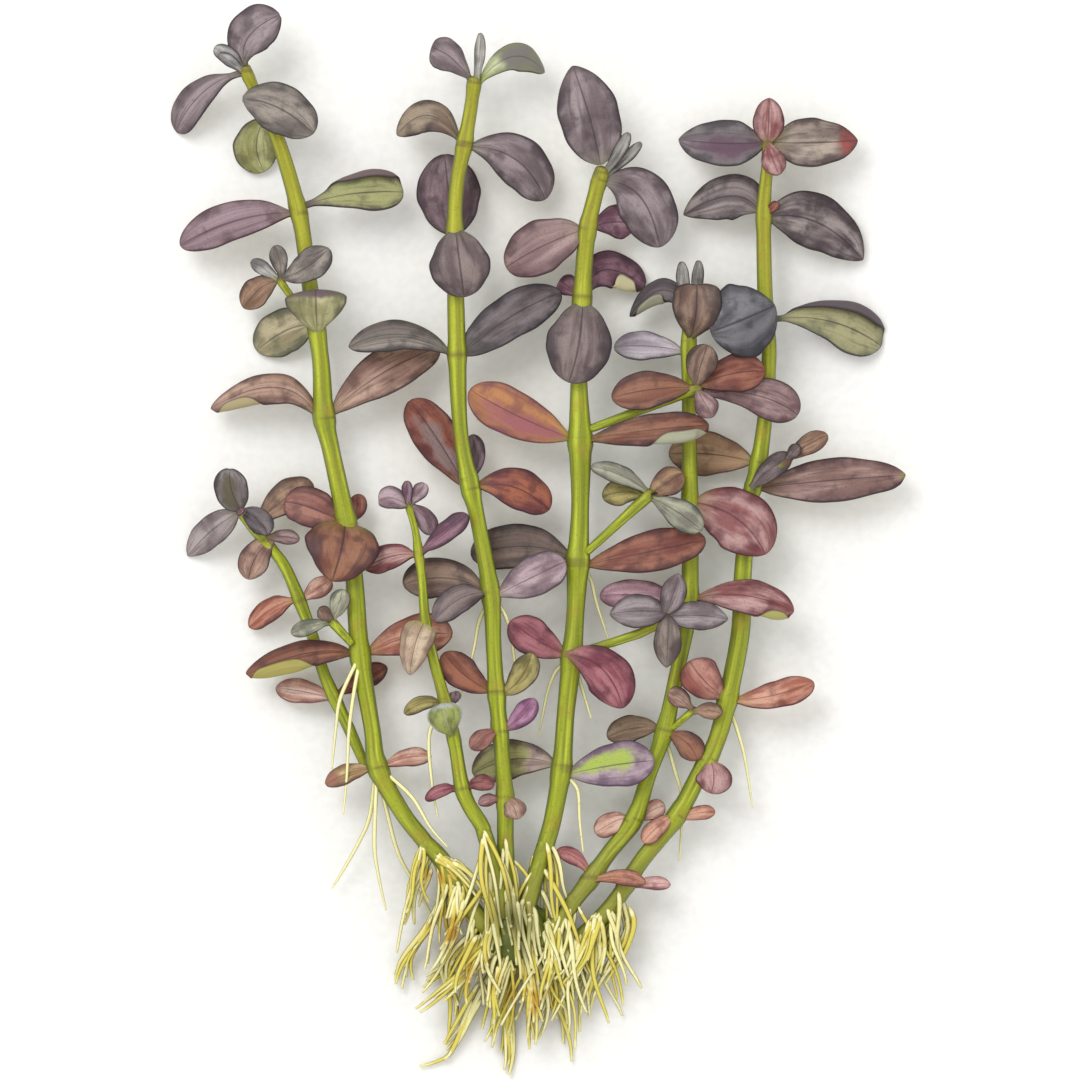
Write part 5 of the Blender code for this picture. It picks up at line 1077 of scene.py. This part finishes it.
leafy_stem("shoot_4_lower", (
    (7.6, -17.8, 9.4, 0.7), (17.5, -14.6, 10.2, 0.8), (21.5, -11.6, 10.8, 0.8),
), (
    Leaf("4c_left", -11.8, (-9.6, 0, 0), 5.8, (0, 0.4, 0.8), 10, 8, "purple foot", "pointed"),
    Leaf("4c_top", -11.8, (1.8, 6.8, 1), 4.4, (0.2, 0, 0.8), 0, 12, "smoke", "pointed"),
    Leaf("4c_right", -11.8, (10, -0.8, 0.4), 5, (0, 0.4, 0.8), 10, 8, "purple foot", "pointed"),
    Leaf("4c_front", -11.8, (-0.2, -8.8, 1.2), 4.8, (0, 0, 1.2), 0, 8, "dark purple foot", "pointed"),
), crown=2.6)
leafy_stem("shoot_5", (
    (23.1, -29.9, 6.6, 0.55), (26, -27.4, 7.4, 0.6),
), (
    Leaf("5a_left", -27.8, (-4.2, 3, 0.8), 3.4, (0, 0.4, 0.4), 0, 8, "brown rose"),
    Leaf("5a_right", -27.8, (4.8, -0.6, 1.4), 3, (0, 0.4, 0.6), 0, 8, "tan brown"),
))
leafy_stem("shoot_6", (
    (38.2, 11.4, 7.6, 0.6), (40, 12.8, 8.2, 0.7), (42, 14.2, 9, 0.6),
), (
    Leaf("6a_front", 11.8, (3.2, 3, 1), 3.8, (-0.2, 0.3, 0.2), 0, 10, "ash", start=(-3.6, -2.6, 0.4)),
    Leaf("6a_right", 13.6, (6.8, 4.4, 0.8), 3.6, (0, 0.4, 0.4), 10, 10, "tan brown"),
    Leaf("6a_bud", 13.8, (1.8, 2.4, 1.4), 2.2, (0, 0.2, 0.2), 0, 20, "ash"),
), crown=4.0)

# The table that the plant lies on: a plain sheet of matt white card, far wider than the view, just under
# the plant's lowest point.
TABLE_SIZE = 3.0
TABLE_GAP = 0.1
CARD_WHITE = "FBFAF7"
CARD_FIBRE = "F6F5F2"
CARD_ROUGHNESS = 0.9
CARD_IOR = 1.45
CARD_FIBRE_MM = 1.5


def card():
    """Matt uncoated card: nearly white, with a trace of fibre in its tone."""
    material, tree, shader = skin("uncoated_card", CARD_ROUGHNESS, CARD_IOR)
    paint(tree, shader, CARD_WHITE, [(CARD_FIBRE, (blotches(tree, CARD_FIBRE_MM), 0.3, 0.7, 0.0, 1.0))])
    return material


table_mesh = bmesh.new()
bmesh.ops.create_grid(table_mesh, x_segments=1, y_segments=1, size=TABLE_SIZE / 2)
table = bpy.data.objects.new("table", bpy.data.meshes.new("table"))
table_mesh.to_mesh(table.data)
table_mesh.free()
table.data.materials.append(card())
table.location.z = CAD_BOX[0].z - TABLE_GAP * MM
bpy.context.scene.collection.objects.link(table)

# The studio: an even white room, one large soft light from the upper left, and a long lens straight above,
# whose picture is 180 mm wide at the plant. Its sizes are in metres, but for the lens.
ROOM_LIGHT = 0.92
SOFTBOX_SIZE = 0.5
SOFTBOX_POWER = 3.2
SOFTBOX_PLACE = (-0.35, 0.45, 0.75)
PICTURE_WIDTH = 0.180
PICTURE_MIDDLE_Y = 0.58 * MM
PLANT_MIDDLE_Z = 7 * MM
LENS = 400.0
SENSOR = 36.0
FARTHEST_SEEN = 10.0

room = bpy.data.worlds.new("studio")
room.use_nodes = True
room.node_tree.nodes["Background"].inputs["Color"].default_value = (1, 1, 1, 1)
room.node_tree.nodes["Background"].inputs["Strength"].default_value = ROOM_LIGHT
bpy.context.scene.world = room
bpy.context.scene.view_settings.view_transform = "Standard"

softbox = bpy.data.lights.new("softbox", "AREA")
softbox.shape = "DISK"
softbox.size = SOFTBOX_SIZE
softbox.energy = SOFTBOX_POWER
softbox_holder = bpy.data.objects.new("softbox", softbox)
softbox_holder.location = SOFTBOX_PLACE
softbox_holder.rotation_euler = (-Vector(SOFTBOX_PLACE)).to_track_quat("-Z", "Y").to_euler()
bpy.context.scene.collection.objects.link(softbox_holder)

lens = bpy.data.cameras.new("camera")
lens.lens = LENS
lens.sensor_width = SENSOR
lens.clip_end = FARTHEST_SEEN
camera = bpy.data.objects.new("camera", lens)
camera.location = (0, PICTURE_MIDDLE_Y, PLANT_MIDDLE_Z + PICTURE_WIDTH * LENS / SENSOR)
bpy.context.scene.collection.objects.link(camera)
bpy.context.scene.camera = camera
